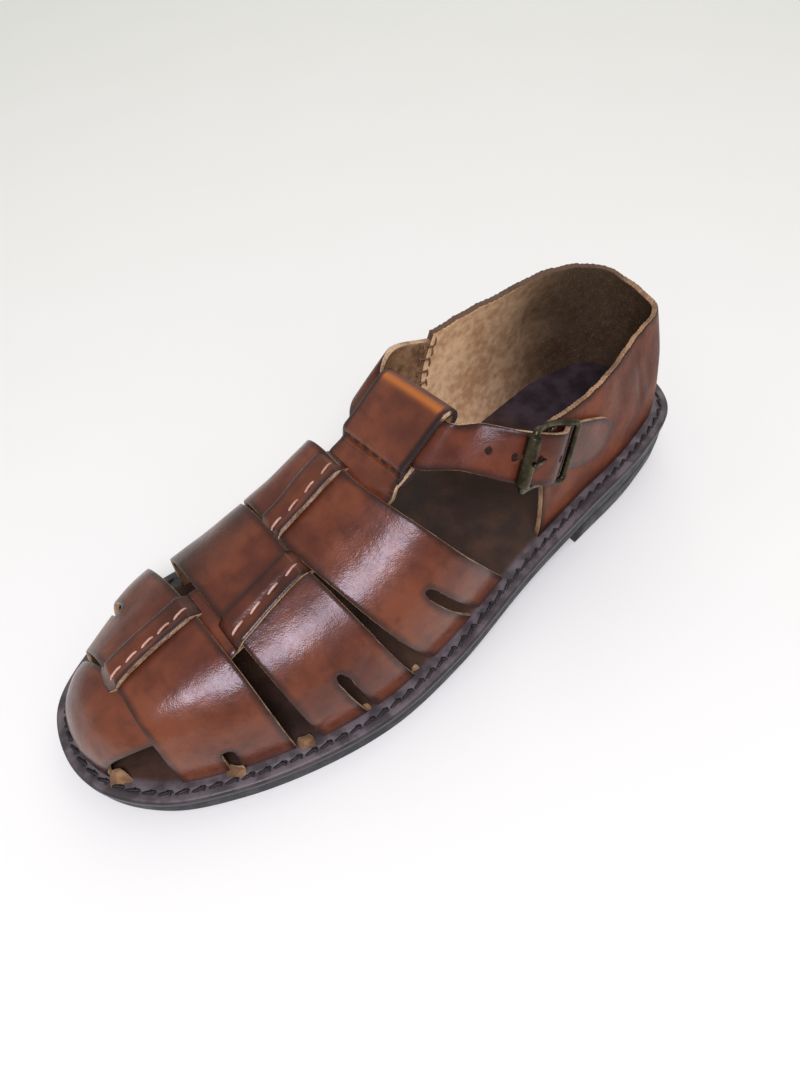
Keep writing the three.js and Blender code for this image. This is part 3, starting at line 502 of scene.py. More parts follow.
@dataclass
class Skin:
    """Vertices and faces of a mesh being made, in millimetres."""

    points: Array
    faces: list[tuple[int, ...]]
    kinds: list[int]
    edge: Array | None = None
    tone: Array | None = None

    def make(self, name: str, materials: Sequence[bpy.types.Material]) -> bpy.types.Object:
        """Args:
            name: name of the piece.
            materials: its materials in the order of the face kinds.

        Returns: the finished object, in the scene.
        """
        mesh = bpy.data.meshes.new(name)
        mesh.from_pydata(to_frame(self.points).tolist(), [], self.faces)
        for material in materials:
            mesh.materials.append(material)
        mesh.polygons.foreach_set("material_index", self.kinds)
        for label, values in (("edge", self.edge), ("tone", self.tone)):
            if values is not None:
                layer = mesh.attributes.new(label, "FLOAT", "POINT")
                layer.data.foreach_set("value", np.asarray(values, float))
        work = bmesh.new()
        work.from_mesh(mesh)
        bmesh.ops.recalc_face_normals(work, faces=work.faces)
        for face in work.faces:
            face.smooth = True
        work.to_mesh(mesh)
        work.free()
        piece = bpy.data.objects.new(name, mesh)
        bpy.context.scene.collection.objects.link(piece)
        return piece


@dataclass(frozen=True)
class Patch:
    """Matching grids of the outer and inner face of a sheet."""

    base: Array
    outer: Array
    inner: Array
    tone: Array


class Sheet:
    """Closed sheet of leather with a rounded cut edge."""

    STEPS = ((0.09, 0.62), (0.32, 0.97), (0.68, 0.97), (0.91, 0.62))

    def __init__(self, bulge: float = 0.32) -> None:
        """Args:
            bulge: how far the cut edge rounds outward.
        """
        self.bulge = bulge
        self.outer: list[Array] = []
        self.inner: list[Array] = []
        self.tones: list[float] = []
        self.faces: list[tuple[int, ...]] = []
        self.seen: dict[tuple[float, ...], int] = {}

    def add(self, patch: Patch) -> None:
        """Adds one grid; grids that share a border grow together."""
        rows, columns = patch.outer.shape[:2]
        ids = np.empty((rows, columns), int)
        keys = np.round(patch.base, 4)
        for i in range(rows):
            for j in range(columns):
                key = tuple(keys[i, j])
                if key not in self.seen:
                    self.seen[key] = len(self.outer)
                    self.outer.append(patch.outer[i, j])
                    self.inner.append(patch.inner[i, j])
                    self.tones.append(float(patch.tone[i, j]))
                ids[i, j] = self.seen[key]
        for i in range(rows - 1):
            for j in range(columns - 1):
                ring = [ids[i, j], ids[i, j + 1], ids[i + 1, j + 1], ids[i + 1, j]]
                kept = [int(a) for k, a in enumerate(ring) if a != ring[k - 1]]
                if len(kept) > 2:
                    self.faces.append(tuple(kept))

    def skin(self) -> Skin:
        """Returns: the closed mesh with its distance from the cut edge."""
        outer, inner = np.array(self.outer), np.array(self.inner)
        count = len(outer)
        edges = {(face[k - 1], face[k]) for face in self.faces for k in range(len(face))}
        border = [(a, b) for a, b in edges if (b, a) not in edges]
        lean = np.zeros((count, 3))
        up = unit(outer - inner)
        for a, b in border:
            away = np.cross(outer[b] - outer[a], up[a] + up[b])
            lean[a] += away
            lean[b] += away
        lean = unit(lean)
        rim_ids = sorted({a for pair in border for a in pair})
        place = {a: k for k, a in enumerate(rim_ids)}
        rim = [
            outer[rim_ids] * (1 - s) + inner[rim_ids] * s + lean[rim_ids] * self.bulge * reach
            for s, reach in self.STEPS
        ]
        points = np.concatenate([outer, inner, *rim])
        faces = list(self.faces) + [tuple(a + count for a in reversed(face)) for face in self.faces]
        kinds = [LeatherFace.GRAIN.value] * len(self.faces) + [LeatherFace.FLESH.value] * len(self.faces)
        width = len(rim_ids)

        def ring(a: int) -> list[int]:
            """Returns: the vertices across the cut edge at one border point."""
            return [a, *(2 * count + k * width + place[a] for k in range(len(rim))), a + count]

        for a, b in border:
            near, far = ring(a), ring(b)
            for k in range(len(near) - 1):
                faces.append((far[k], near[k], near[k + 1], far[k + 1]))
                kinds.append(LeatherFace.GRAIN.value if k == 0 else LeatherFace.CUT.value)
        distance = distances(outer, outer[rim_ids])
        edge = np.concatenate([distance, distance, np.zeros(width * len(rim))])
        tone = np.array(self.tones)
        tones = np.concatenate([tone, tone, *([tone[rim_ids]] * len(rim))])
        return Skin(points, faces, kinds, edge, tones)


def lay(surface: Surface, lift: Callable, wall: float, us: Array, vs: Array,
        tone: Callable | None = None) -> Patch:
    """Args:
        surface: place of the sheet for two shares.
        lift: height of its flesh side over the surface.
        wall: thickness.
        us: shares across.
        vs: shares along.
        tone: darkness from 0 to 1, if it varies.

    Returns: the grids of the laid sheet.
    """
    u, v = np.meshgrid(us, vs, indexing="ij")
    base, away = surface(u, v), outward(surface, u, v)
    height = np.broadcast_to(lift(u, v), u.shape)[..., None]
    shade = np.zeros(u.shape) if tone is None else np.broadcast_to(tone(u, v), u.shape)
    return Patch(base, base + away * (height + wall), base + away * height, shade)


class Cage:
    """The woven straps of the upper and the folded loop."""

    # How far the sheets run on past the feather line, into the board
    REACH = 1 + S.slot_depth / S.instep_height
    # How late a strap's edges leave the place they have on the ridge
    SWEEP = 1.7
    SLIT_STEPS = (0, 0.006, 0.018)
    WAVE_SEEDS = {"toe": 1.1, "middle": 2.6, "instep": 4.3}
    # Shares of the loop's run that its hidden end and its fold take up
    LOOP_FLAT = 0.16
    LOOP_TURN = 0.32
    TONGUE_WALL = 1.1

    def __init__(self, leather: Sequence[bpy.types.Material]) -> None:
        """Args:
            leather: grain, flesh and cut-edge materials.
        """
        self.leather = leather

    def cross_edge(self, row: tuple[float, float, float], turn: Array) -> Array:
        """Returns: distance from the heel of a strap's edge at a turn over the foot."""
        end = np.where(turn < 0, row[0], row[2])
        share = np.minimum(np.abs(turn), 1) ** self.SWEEP
        return (row[1] + (end - row[1]) * share) * S.sole_length

    def slit_line(self, row: CrossRow, turn: Array) -> Array:
        """Returns: distance from the heel of the line that the slits follow."""
        root = (row.rear[1] + row.front[1]) / 2
        end = np.where(turn < 0, *row.slit)
        return (root + (end - root) * np.abs(turn) ** self.SWEEP) * S.sole_length

    def slit_half(self, row: CrossRow, turn: Array) -> Array:
        """Returns: half the width of the slit, zero above its rounded top."""
        start, end = np.where(turn < 0, *row.slit_top), self.REACH + 0.02
        share = np.clip((np.abs(turn) - start) / (end - start), 0, 1)
        half = S.slit_width / 2 * np.minimum(1, np.sqrt(share * 6) + 0.15)
        return np.where(np.abs(turn) > start, half, 0.0)

    def relief(self, row: CrossRow, x: Array, turn: Array) -> Array:
        """Returns: creases and swelling of a cross strap over the plain last."""
        place = LAST.point(x, turn)
        y = place[..., 1]
        middle = LAST.centre(x, np.full(x.shape, 0.5))
        over = 1 - smoothstep(np.abs(y - middle), 9, 19)
        height = 0.45 * over + 0.22 * ripple(x, y * 1.3, self.WAVE_SEEDS[row.name])
        if row.name == "instep":
            bump = ((x - 136) / 9) ** 2 + ((turn - 0.62) / 0.1) ** 2
            crease = mound((x - 146 + 20 * (turn - 0.1)) / 1.5)
            crease = crease * smoothstep(turn, 0.02, 0.1) * (1 - smoothstep(turn, 0.2, 0.32))
            height = height + 1.1 * np.exp(-bump) - crease
        if row.name == "middle":
            height = height - 0.3 * mound((turn - 0.8 - 0.01 * (x - 205)) / 0.035)
        if row.name == "toe":
            height = height - 0.25 * mound((turn - 0.55) / 0.05) * smoothstep(x, 232, 250)
            flare = smoothstep(-turn, 0.4, 0.66) * (1 - smoothstep(-turn, 0.8, 0.99))
            height = height + (0.5 + 2.0 * (1 - smoothstep(x, 245, 249))) * flare
        return height

    def cross(self, row: CrossRow) -> bpy.types.Object:
        """Returns: one cross strap with its two slit ends."""
        base = np.linspace(-self.REACH, self.REACH, 128)
        tops = [way * (top + more) for way, top in zip((-1, 1), row.slit_top) for more in self.SLIT_STEPS]
        turns = np.unique(np.concatenate([base, tops]))
        rib = next(r for r in RIB_ROWS if r.name == row.name)
        sheet = Sheet()
        for side in (-1, 1):

            def surface(u: Array, v: Array, side: int = side) -> Array:
                """Returns: flesh side of one half, from the strap's edge to the slit's line."""
                edge = self.cross_edge(row.rear if side < 0 else row.front, u)
                inner = self.slit_line(row, u) + side * self.slit_half(row, u)
                share = v if side < 0 else 1 - v
                x = edge + (inner - edge) * share
                away = LAST.point(x, u + 0.003) - LAST.point(x, u - 0.003)
                along = LAST.point(x + 0.4, u) - LAST.point(x - 0.4, u)
                normal = unit(np.cross(along, away))
                return LAST.point(x, u) + normal * self.relief(row, x, u)[..., None]

            def tone(u: Array, v: Array, surface: Surface = surface) -> Array:
                """Returns: painted shade near the board, on the inner side and, with burnish, beside the rib.
                """
                place = surface(u, v)
                # Painted shade and burnish on both sides of the rib that passes over
                beside = sum(
                    mound((place[..., 1] - LAST.centre(place[..., 0], np.full(u.shape, share))) / 2.6)
                    for share in (rib.start, rib.end)
                )
                # Painted shade on the middle strap's inner side
                inner = 0.55 * smoothstep(-u, 0.05, 0.4) if row.name == "middle" else 0.0
                # Painted shade on the low ends near the board
                return 0.45 * smoothstep(np.abs(u), 0.9, 1.02) + 0.5 * beside + inner

            shares = np.linspace(0, 1, 13)
            sheet.add(lay(surface, lambda u, v: S.cross_lift, S.strap_wall, turns, shares, tone))
        return self.finish(sheet, f"cage_{row.name}_strap")

    def finish(self, sheet: Sheet, name: str) -> bpy.types.Object:
        """Returns: the sheet as a piece that stands for the cage."""
        return attach(sheet.skin().make(name, self.leather), "cage_vamp", "cage_leather")

    def centre_surface(self, low: float, high: float) -> Surface:
        """Args:
            low: share across where the strip begins.
            high: share across where it ends.

        Returns: the centre strap from the loop to the toe and into the sole.
        """
        feather = LAST.feather
        toe_x = TOE_START * S.sole_length
        start = LOOP_FRONT - S.loop_overlap
        bend = (toe_x - start) / (feather.toe[0] - start)
        samples = np.linspace(-0.1, 1.1, 61)
        bases = np.array([self.toe_base(float(a)) for a in samples])

        def surface(u: Array, v: Array) -> Array:
            """Returns: points at a share across the strip and a share of its run."""
            u, v = np.broadcast_arrays(u, v)
            across = low + (high - low) * u
            run = v / CENTRE_END
            plain_x = start + run * (feather.toe[0] - start)
            plain = LAST.over(plain_x, LAST.centre(plain_x, across))
            base_x = np.interp(across, samples, bases[:, 0])
            base_y = np.interp(across, samples, bases[:, 1])
            share = np.sin(np.clip((run - bend) / (1 - bend), 0, 1) * np.pi / 2)
            x = toe_x + (base_x - toe_x) * share
            from_y = LAST.centre(np.full(u.shape, toe_x), across)
            toe = LAST.over(x, from_y + (base_y - from_y) * share)
            sunk = np.maximum(0, v - CENTRE_END) / (1 - CENTRE_END) * S.slot_depth
            toe[..., 2] = np.where(run >= 1, LAST.board(x) - sunk, toe[..., 2])
            return np.where((run < bend)[..., None], plain, toe)

        return surface

    @staticmethod
    def toe_base(across: float) -> Array:
        """Returns: foot of the centre strap on the inner line of the toe."""
        feather = LAST.feather
        y = (TOE_BASE[0] + (TOE_BASE[1] - TOE_BASE[0]) * across) * S.ball_width
        side = feather.outer if y > feather.toe[1] else feather.inner
        near = side[-160:]
        order = np.argsort(near[:, 1])
        x = np.interp(y, near[order, 1], near[order, 0])
        return np.array([x, y])

    def centre(self) -> bpy.types.Object:
        """Returns: the centre strap, pressed down where the cross straps pass over it."""
        surface = self.centre_surface(0, 1)
        toe_x = TOE_START * S.sole_length

        def lift(u: Array, v: Array) -> Array:
            """Returns: height over the last, low under the cross straps and higher between them."""
            place = surface(u, v)
            x = place[..., 0]
            beside = np.maximum(0, place[..., 1] - LAST.ridge(x / S.sole_length) * S.ball_width)
            into = x - (CROSS_ROWS[2].rear[1] * S.sole_length - 3.6 * (beside / 17) ** 1.7)
            dive = smoothstep(into, -3.4, 0.8)
            under = dive * (1 - smoothstep(x, toe_x - 1, toe_x + 7))
            deep = 1.6 * smoothstep(beside, 4, 17) * dive * (1 - smoothstep(x, 170, 185))
            gap = mound((x - 224.5) / 2.6)
            swell = 0.88 * smoothstep(x, toe_x + 3, toe_x + 16) * (1 - smoothstep(x, 268, 276))
            return -1.1 * under - deep + 0.9 * gap + swell + 0.2 * ripple(x, place[..., 1] * 1.4, 0.4)

        def tone(_: Array, v: Array) -> Array:
            """Returns: darkness towards the toe's end."""
            return 0.85 * smoothstep(v, 0.9, 0.975)

        sheet = Sheet()
        vs = np.concatenate([np.linspace(0, 0.8, 110), np.linspace(0.8, 1, 46)[1:]])
        sheet.add(lay(surface, lift, S.strap_wall, np.linspace(0, 1, 25), vs, tone))
        return self.finish(sheet, "cage_centre_strap")

    def rib_surface(self, row: RibRow) -> Surface:
        """Returns: the run of one woven strip, as two shares."""
        strip = self.centre_surface(row.start, row.end)
        start = LOOP_FRONT - S.loop_overlap
        span = LAST.feather.toe[0] - start

        def share(along: float) -> float:
            """Returns: share of the strap's run at a share of the length."""
            return (along * S.sole_length - start) / span * CENTRE_END

        rear, front = share(row.rear), share(row.front)
        return lambda u, v: strip(u, rear + (front - rear) * v)

    @staticmethod
    def rib_lift(v: Array) -> Array:
        """Returns: height of a woven strip, which dives at both ends."""
        return (RIB_LIFT + 0.35) * np.minimum(1, np.sin(np.clip(v, 0, 1) * np.pi) * 3.2) - 0.15

    def rib(self, row: RibRow) -> bpy.types.Object:
        """Returns: one strip woven over a cross strap."""
        surface = self.rib_surface(row)

        def lift(u: Array, v: Array) -> Array:
            """Returns: height over the last, with the stitched channel and the curled edge."""
            place = surface(u, v)
            arch = np.sin(np.pi * np.clip(v, 0, 1))
            channel = 0.55 * mound((u - row.stitch) / 0.12) * arch**0.3
            curl = 0.9 * smoothstep(u, 0.72, 1) * arch**0.6
            crown = 0.35 * (1 - (2 * u - 1) ** 4)
            waves = 0.2 * ripple(place[..., 0] * 1.5, place[..., 1] * 1.5, 3.3)
            return self.rib_lift(v) - channel + curl + crown + waves

        def tone(u: Array, v: Array) -> Array:
            """Returns: patchy darkness of the rubbed strip."""
            return 0.3 + 0.25 * ripple(v * 60, u * 10, row.start * 5) * smoothstep(v, 0, 0.1)

        sheet = Sheet(0.25)
        sheet.add(lay(surface, lift, S.strap_wall, np.linspace(0, 1, 17), np.linspace(0, 1, 64), tone))
        return self.finish(sheet, f"cage_{row.name}_rib")

    def rib_path(self, row: RibRow) -> tuple[Array, Array]:
        """Returns: line of the rib's stitches and the way up from it."""
        surface = self.rib_surface(row)
        v = np.linspace(0.16, 0.86, 60)
        u = np.full(v.shape, row.stitch)
        away = outward(surface, u, v)
        height = self.rib_lift(v) + S.strap_wall - 0.15
        return surface(u, v) + away * height[:, None], away

    def loop_surface(self, u: Array, v: Array) -> Array:
        """Returns: middle of the folded leather, from the hidden end round the fold to its stitched end."""
        u, v = np.broadcast_arrays(u, v)
        flat, turn = self.LOOP_FLAT, self.LOOP_TURN
        back = LOOP_REAR + LOOP_FOLD

        def rise(x: Array, lift: Array) -> Array:
            """Returns: points at a height over the last."""
            y = LAST.centre(x, u)
            dx = LAST.over(x + 0.3, y) - LAST.over(x - 0.3, y)
            dy = LAST.over(x, y + 0.3) - LAST.over(x, y - 0.3)
            return LAST.over(x, y) + unit(np.cross(dx, dy)) * lift[..., None]

        first = LOOP_FRONT + S.loop_overlap + (back - LOOP_FRONT - S.loop_overlap) * v / flat
        angle = np.clip((v - flat) / turn, 0, 1) * np.pi
        second = LOOP_REAR + LOOP_FOLD * (1 - np.sin(angle))
        share = np.clip((v - flat - turn) / (1 - flat - turn), 0, None)
        third = back + (LOOP_FRONT + S.loop_overlap - back) * share
        high, low = LOOP_UNDER + LOOP_SPACE, S.strap_wall / 2 + 0.15
        top = high + (low - high) * smoothstep(share, 0.76, 0.96) - 0.9 * smoothstep(share, 0.98, 1.06)
        x = np.where(v < flat, first, np.where(v < flat + turn, second, third))
        folding = LOOP_UNDER + LOOP_FOLD * (1 - np.cos(angle))
        lift = np.where(v < flat, LOOP_UNDER, np.where(v < flat + turn, folding, top))
        return rise(x, lift)

    def loop(self) -> bpy.types.Object:
        """Returns: the folded loop that holds the ankle strap."""

        def lift(u: Array, v: Array) -> Array:
            """Returns: place of the flesh side beside the middle of the leather."""
            crown = 0.45 * np.sin(np.pi * np.clip((v - 0.5) / 0.36, 0, 1))
            return -S.strap_wall / 2 + crown * (1 - (2 * u - 1) ** 4) + 0.1 * ripple(u * 60, v * 90, 2.0)

        def tone(u: Array, v: Array) -> Array:
            """Returns: dark along the edges, rubbed pale on the fold's crest."""
            return smoothstep(np.abs(2 * u - 1), 0.86, 0.98) - 0.7 * mound((v - 0.44) / 0.045)

        sheet = Sheet(0.3)
        bend = self.LOOP_FLAT + self.LOOP_TURN
        parts = (0, self.LOOP_FLAT, 8), (self.LOOP_FLAT, bend, 28), (bend, 1.035, 48)
        vs = np.unique(np.concatenate([np.linspace(*part) for part in parts]))
        sheet.add(lay(self.loop_surface, lift, S.strap_wall, np.linspace(0, 1, 29), vs, tone))
        return self.finish(sheet, "cage_instep_loop")

    def loop_path(self) -> tuple[Array, Array]:
        """Returns: line of the stitches that close the loop and the way up from it."""
        u = np.linspace(0.1, 0.9, 50)
        v = np.full(u.shape, 0.915)
        away = outward(self.loop_surface, u, v)
        return self.loop_surface(u, v) + away * (S.strap_wall / 2 + 0.05), away

    def tongue(self, name: str, corners: Sequence[tuple[float, float, float]]) -> bpy.types.Object:
        """Args:
            name: name of the piece.
            corners: two places on the board and two above them, with their rise.

        Returns: a small raw end of a strap beside its slot.
        """
        raised = np.array([(x, y, float(LAST.board(np.array(x))) + rise) for x, y, rise in corners])

        def surface(u: Array, v: Array) -> Array:
            """Returns: points of the tongue, narrower towards its tip and bowed."""
            narrow = 0.9 - 0.4 * np.maximum(v, 0) ** 3
            u, v = (0.5 + (u - 0.5) * narrow)[..., None], v[..., None]
            low = raised[0] * (1 - u) + raised[1] * u
            high = raised[2] * (1 - u) + raised[3] * u
            bow = 1 - (2 * u - 1) ** 2
            sway = 0.3 * np.sin(7 * u + 4 * v + raised[0, 0])
            bent = np.array([0.2, 0.4, 0.4]) * bow * v + np.array([0, 0, 1]) * sway * v
            return low * (1 - v) + high * v + bent

        sheet = Sheet(0.12)
        wall = self.TONGUE_WALL
        sheet.add(lay(surface, lambda u, v: -wall / 2, wall, np.linspace(0, 1, 11), np.linspace(-0.2, 1, 11)))
        faces = (LeatherFace.FLESH, LeatherFace.FLESH, LeatherFace.CUT)
        leather = [self.leather[face.value] for face in faces]
        return attach(sheet.skin().make(name, leather), "cage_vamp", "cage_leather")

    def build(self) -> None:
        """Makes every piece of the cage."""
        for name, corners in TONGUES:
            self.tongue(f"cage_{name}_tongue", corners)
        self.centre()
        for row in CROSS_ROWS:
            self.cross(row)
        for row in RIB_ROWS:
            self.rib(row)
        self.loop()

    def sew(self, pale: bpy.types.Material, black: bpy.types.Material) -> None:
        """Sews the ribs and the loop.

        Args:
            pale: thread of the ribs.
            black: thread of the loop.
        """
        for row in RIB_ROWS:
            seam = StitchRow(
                f"cage_{row.name}_stitches", "cage_vamp", "cage_leather",
                pitch=6.6, length=6.3, radius=0.48, slant=0.06, seed=3,
            )
            seam.sew(*self.rib_path(row), pale)
        seam = StitchRow(
            "cage_loop_stitches", "cage_vamp", "cage_leather",
            pitch=5.2, length=4.4, radius=0.42, slant=0.1, seed=5,
        )
        seam.sew(*self.loop_path(), black)


def attach(piece: bpy.types.Object, node: str | None, slot: str) -> bpy.types.Object:
    """Args:
        piece: a finished object.
        node: the node of the frame that it stands for, if any.
        slot: not used.

    Returns: the same object, riding on the part.
    """
    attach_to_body(piece, BODY)
    if node:
        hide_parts(node)
    LOG.info("%s: %d faces", piece.name, len(piece.data.polygons))
    return piece


class Wrap:
    """The leather round the heel."""

    # Creases of the outer side: place round the wrap, depth, width
    CREASES = ((0.64, 0.4, 0.01), (0.6, 0.25, 0.014), (0.72, 0.3, 0.02))
    # Hollow of the inner side and the ridge in front of it: place, level, depth, width, height
    FOLDS = ((0.2, 0.55, 2.4, 0.04, 0.17), (0.13, 0.72, -1.3, 0.04, 0.3))

    def __init__(self) -> None:
        """Draws the foot line from the inner front end round the heel, and the collar's curves."""
        edge = Footprint(S.edge_margin)
        low, high = (share * S.sole_length for share in QUARTER_FRONT)
        inner = edge.inner[edge.inner[:, 0] < low][::-1]
        outer = edge.outer[edge.outer[:, 0] < high]
        self.line = np.concatenate([inner, outer])
        lengths = np.linalg.norm(np.diff(self.line, axis=0), axis=1)
        self.run = np.concatenate([[0], np.cumsum(lengths)])
        self.along, self.out, self.rise = profiles(COLLAR_ROWS)

    def at(self, share: Array) -> Array:
        """Returns: points of the wrap's foot, run on straight past its ends."""
        target = np.asarray(share, float) * self.run[-1]
        i = np.clip(np.searchsorted(self.run, target) - 1, 0, len(self.run) - 2)
        t = (target - self.run[i]) / (self.run[i + 1] - self.run[i])
        return self.line[i] + (self.line[i + 1] - self.line[i]) * t[..., None]

    def surface(self, u: Array, v: Array) -> Array:
        """Returns: outer face of the wrap, round the heel and up to the collar."""
        u, v = np.broadcast_arrays(np.asarray(u, float), np.asarray(v, float))
        base = self.at(u)
        board = LAST.board(base[..., 0])
        level = np.maximum(v, 0)
        line = self.at(np.minimum(u + 0.02, 1)) - self.at(np.maximum(u - 0.02, 0))
        inward = unit(np.stack([line[..., 1], -line[..., 0]], -1))
        x = base[..., 0] + (self.along(u) * S.sole_length - base[..., 0]) * level
        y = base[..., 1] + (self.out(u) * S.ball_width - base[..., 1]) * level
        z = board + self.rise(u) * S.collar_height * level
        swell = -SWELL * 4 * level * (1 - level)
        nose = np.sin(np.pi * np.minimum(level, 1) ** (math.log(0.5) / math.log(NOSE[1])))
        x = x + inward[..., 0] * swell + NOSE[0] * nose * np.maximum(0, 1 - u / 0.2) ** 2
        return stack(x, y + inward[..., 1] * swell, z + np.minimum(v, 0) * S.collar_height)

    def shaped(self, u: Array, v: Array) -> Array:
        """Returns: the outer face with its creases and soft dents."""
        base = self.surface(u, v)
        away = outward(self.surface, u, v)
        low = (1 - smoothstep(v, 0.25, 0.6)) * np.maximum(0, 1 - u / 0.15) ** 2
        base = base + stack(9.0 * low, 0.0, 0.0)
        height = 0.35 * ripple(u * 190, base[..., 2] * 1.2, 5.1) * smoothstep(v, 0, 0.15)
        for wrap, depth, width in self.CREASES:
            line = mound((u - wrap - 0.03 * (v - 0.5)) / width)
            height = height - depth * line * smoothstep(v, 0.05, 0.3) * (1 - smoothstep(v, 0.65, 0.95))
        for wrap, level, depth, width, tall in self.FOLDS:
            height = height + depth * np.exp(-(((u - wrap) / width) ** 2) - ((v - level) / tall) ** 2)
        return base + away * height[..., None]

    def build(self, leather: Sequence[bpy.types.Material]) -> None:
        """Makes the wrap.

        Args:
            leather: grain, lining and cut-edge materials.
        """
        foot = S.slot_depth / S.collar_height
        vs = np.concatenate([[-foot, -0.01, 0.01], np.linspace(0.04, 0.94, 34), [0.965, 0.985, 1.0]])

        def surface(u: Array, v: Array) -> Array:
            """Returns: outer face with a slightly ragged collar."""
            rag = 0.006 * ripple(u * 900, u * 500, 1.7) + 0.007 * ripple(u * 5200, u * 4100, 0.3)
            return self.shaped(u, v * (1 + rag * smoothstep(v, 0.8, 1)))

        def tone(u: Array, v: Array) -> Array:
            """Returns: darkness along the foot and towards the buckle."""
            return 0.6 * (1 - smoothstep(v, 0.02, 0.14)) + 0.25 * smoothstep(u, 0.9, 1)

        sheet = Sheet(0.3)
        us = np.linspace(0, 1, 340)
        sheet.add(lay(surface, lambda u, v: -S.quarter_wall, S.quarter_wall, us, vs, tone))
        attach(sheet.skin().make("heel_wrap", leather), "heel_quarter", "quarter_leather")


WRAP = Wrap()


class Buckle:
    """Roller buckle of round wire on the outer side, in its own directions."""

    # Rings of a domed wire end, from its tip: share of the radius
    DOME = (0.0, 0.62, 0.9)
    SLEEVE_PLACES = (-1, -0.985, -0.95, -0.5, 0, 0.5, 0.95, 0.985, 1)
    SLEEVE_WIDTHS = (0.86, 0.96, 1, 1, 1, 1, 1, 0.96, 0.86)

    def __init__(self) -> None:
        """Places the buckle on the heel wrap and works out its levels."""
        wrap, level, _ = CLOSURE_ROWS[0]
        rear = CLOSURE_ROWS[1]
        at = np.array([wrap]), np.array([level])
        self.away = outward(WRAP.surface, *at)[0]
        spot = WRAP.surface(*at)[0]
        ahead = spot - WRAP.surface(np.array([rear[0]]), np.array([rear[1]]))[0]
        self.ahead = unit(ahead - self.away * ahead.dot(self.away))
        self.up = np.cross(self.ahead, self.away)
        self.origin = spot + self.ahead * BUCKLE_AHEAD
        self.bar = 2 * S.gap + 2 * S.prong + S.wire
        self.frame = self.bar + S.bar_drop
        self.roller = S.wire + S.gap + S.roller_wall
        self.arm = S.ankle_width / 2 + S.gap + S.wire + 0.5

    def at(self, ahead: Array, up: Array, away: Array) -> Array:
        """Returns: points given along, across and away from the foot."""
        parts = np.broadcast_arrays(*(np.asarray(a, float) for a in (ahead, up, away)))
        a, b, c = (part[..., None] for part in parts)
        return self.origin + self.ahead * a + self.up * b + self.away * c

    def wire(self, name: str, path: Array, radius: Array | float, closed: bool, metal: bpy.types.Material,
             node: str, slot: str, sides: int = 14) -> bpy.types.Object:
        """Args:
            name: name of the piece.
            path: points of its middle line.
            radius: radius, one or one for each point.
            closed: whether the wire returns to its start.
            metal: finish.
            node: node it stands for.
            slot: material slot.
            sides: facets round it.

        Returns: a swept round wire with domed ends.
        """
        count = len(path)
        radii = np.broadcast_to(radius, (count,)).astype(float)
        if closed:
            tangent = np.roll(path, -1, 0) - np.roll(path, 1, 0)
        else:
            first, last = unit(path[0] - path[1]), unit(path[-1] - path[-2])
            caps = [
                [(end + way * radius * (1 - k) * 0.9, radius * max(k, 0.02)) for k in self.DOME]
                for end, way, radius in ((path[0], first, radii[0]), (path[-1], last, radii[-1]))
            ]
            rings = caps[0] + list(zip(path, radii)) + caps[1][::-1]
            path = np.array([ring[0] for ring in rings])
            radii = np.array([ring[1] for ring in rings])
            count = len(path)
            tangent = np.gradient(path, axis=0)
        tangent = unit(tangent)
        side = unit(np.cross(tangent, self.away + 0.01 * self.up))
        top = np.cross(side, tangent)
        angle = circle(sides)
        rim = side[:, None] * np.cos(angle)[None, :, None] + top[:, None] * np.sin(angle)[None, :, None]
        points = (path[:, None] + rim * radii[:, None, None]).reshape(-1, 3)
        faces = tube_faces(count, sides, closed)
        piece = Skin(points, faces, [0] * len(faces)).make(name, [metal])
        return attach(piece, node, slot)

    def build(self, metal: bpy.types.Material, leather: Sequence[bpy.types.Material]) -> None:
        """Makes the frame, its bar, the roller, the prong and the leather tab.

        Args:
            metal: finish of the wires.
            leather: grain, flesh and cut-edge materials of the tab.
        """
        self.wire("buckle_wire", self.outline(), S.wire, True, metal, "buckle_frame", "buckle_brass")
        bar = self.at(0.0, np.linspace(-self.arm, self.arm, 8), self.bar)
        self.wire("buckle_bar", bar, S.wire * 0.95, False, metal, "buckle_frame", "buckle_brass")
        places = np.array(self.SLEEVE_PLACES) * (self.arm - S.corner - S.gap)
        widths = 1.12 * self.roller * np.array(self.SLEEVE_WIDTHS)
        roller = self.at(S.bar_spacing, places, self.frame)
        self.wire("buckle_sleeve", roller, widths, False, metal, "buckle_roller", "roller_brass", 20)
        self.prong(metal)
        self.tab(leather)

    def outline(self) -> Array:
        """Returns: middle line of the frame's wire, rounded at its corners and dipped at its ends."""
        x, y = S.bar_spacing - S.corner, self.arm - S.corner
        flat = []
        for cx, cy, start in ((x, y, 0.0), (-x, y, 0.5), (-x, -y, 1.0), (x, -y, 1.5)):
            turn = np.linspace(start, start + 0.5, 7) * np.pi
            flat += list(zip(cx + S.corner * np.cos(turn), cy + S.corner * np.sin(turn)))
            if start in (0.0, 1.0):
                ends = np.linspace(0, 1, 12)[1:-1]
                last = flat[-1]
                flat += [(last[0] + (-last[0] * 2) * t, last[1]) for t in ends]
        flat = np.array(flat)
        dip = self.frame - S.bar_drop * np.cos(np.minimum(np.abs(flat[:, 0]) / S.bar_spacing, 1) * np.pi / 2)
        return self.at(flat[:, 0], flat[:, 1], dip)

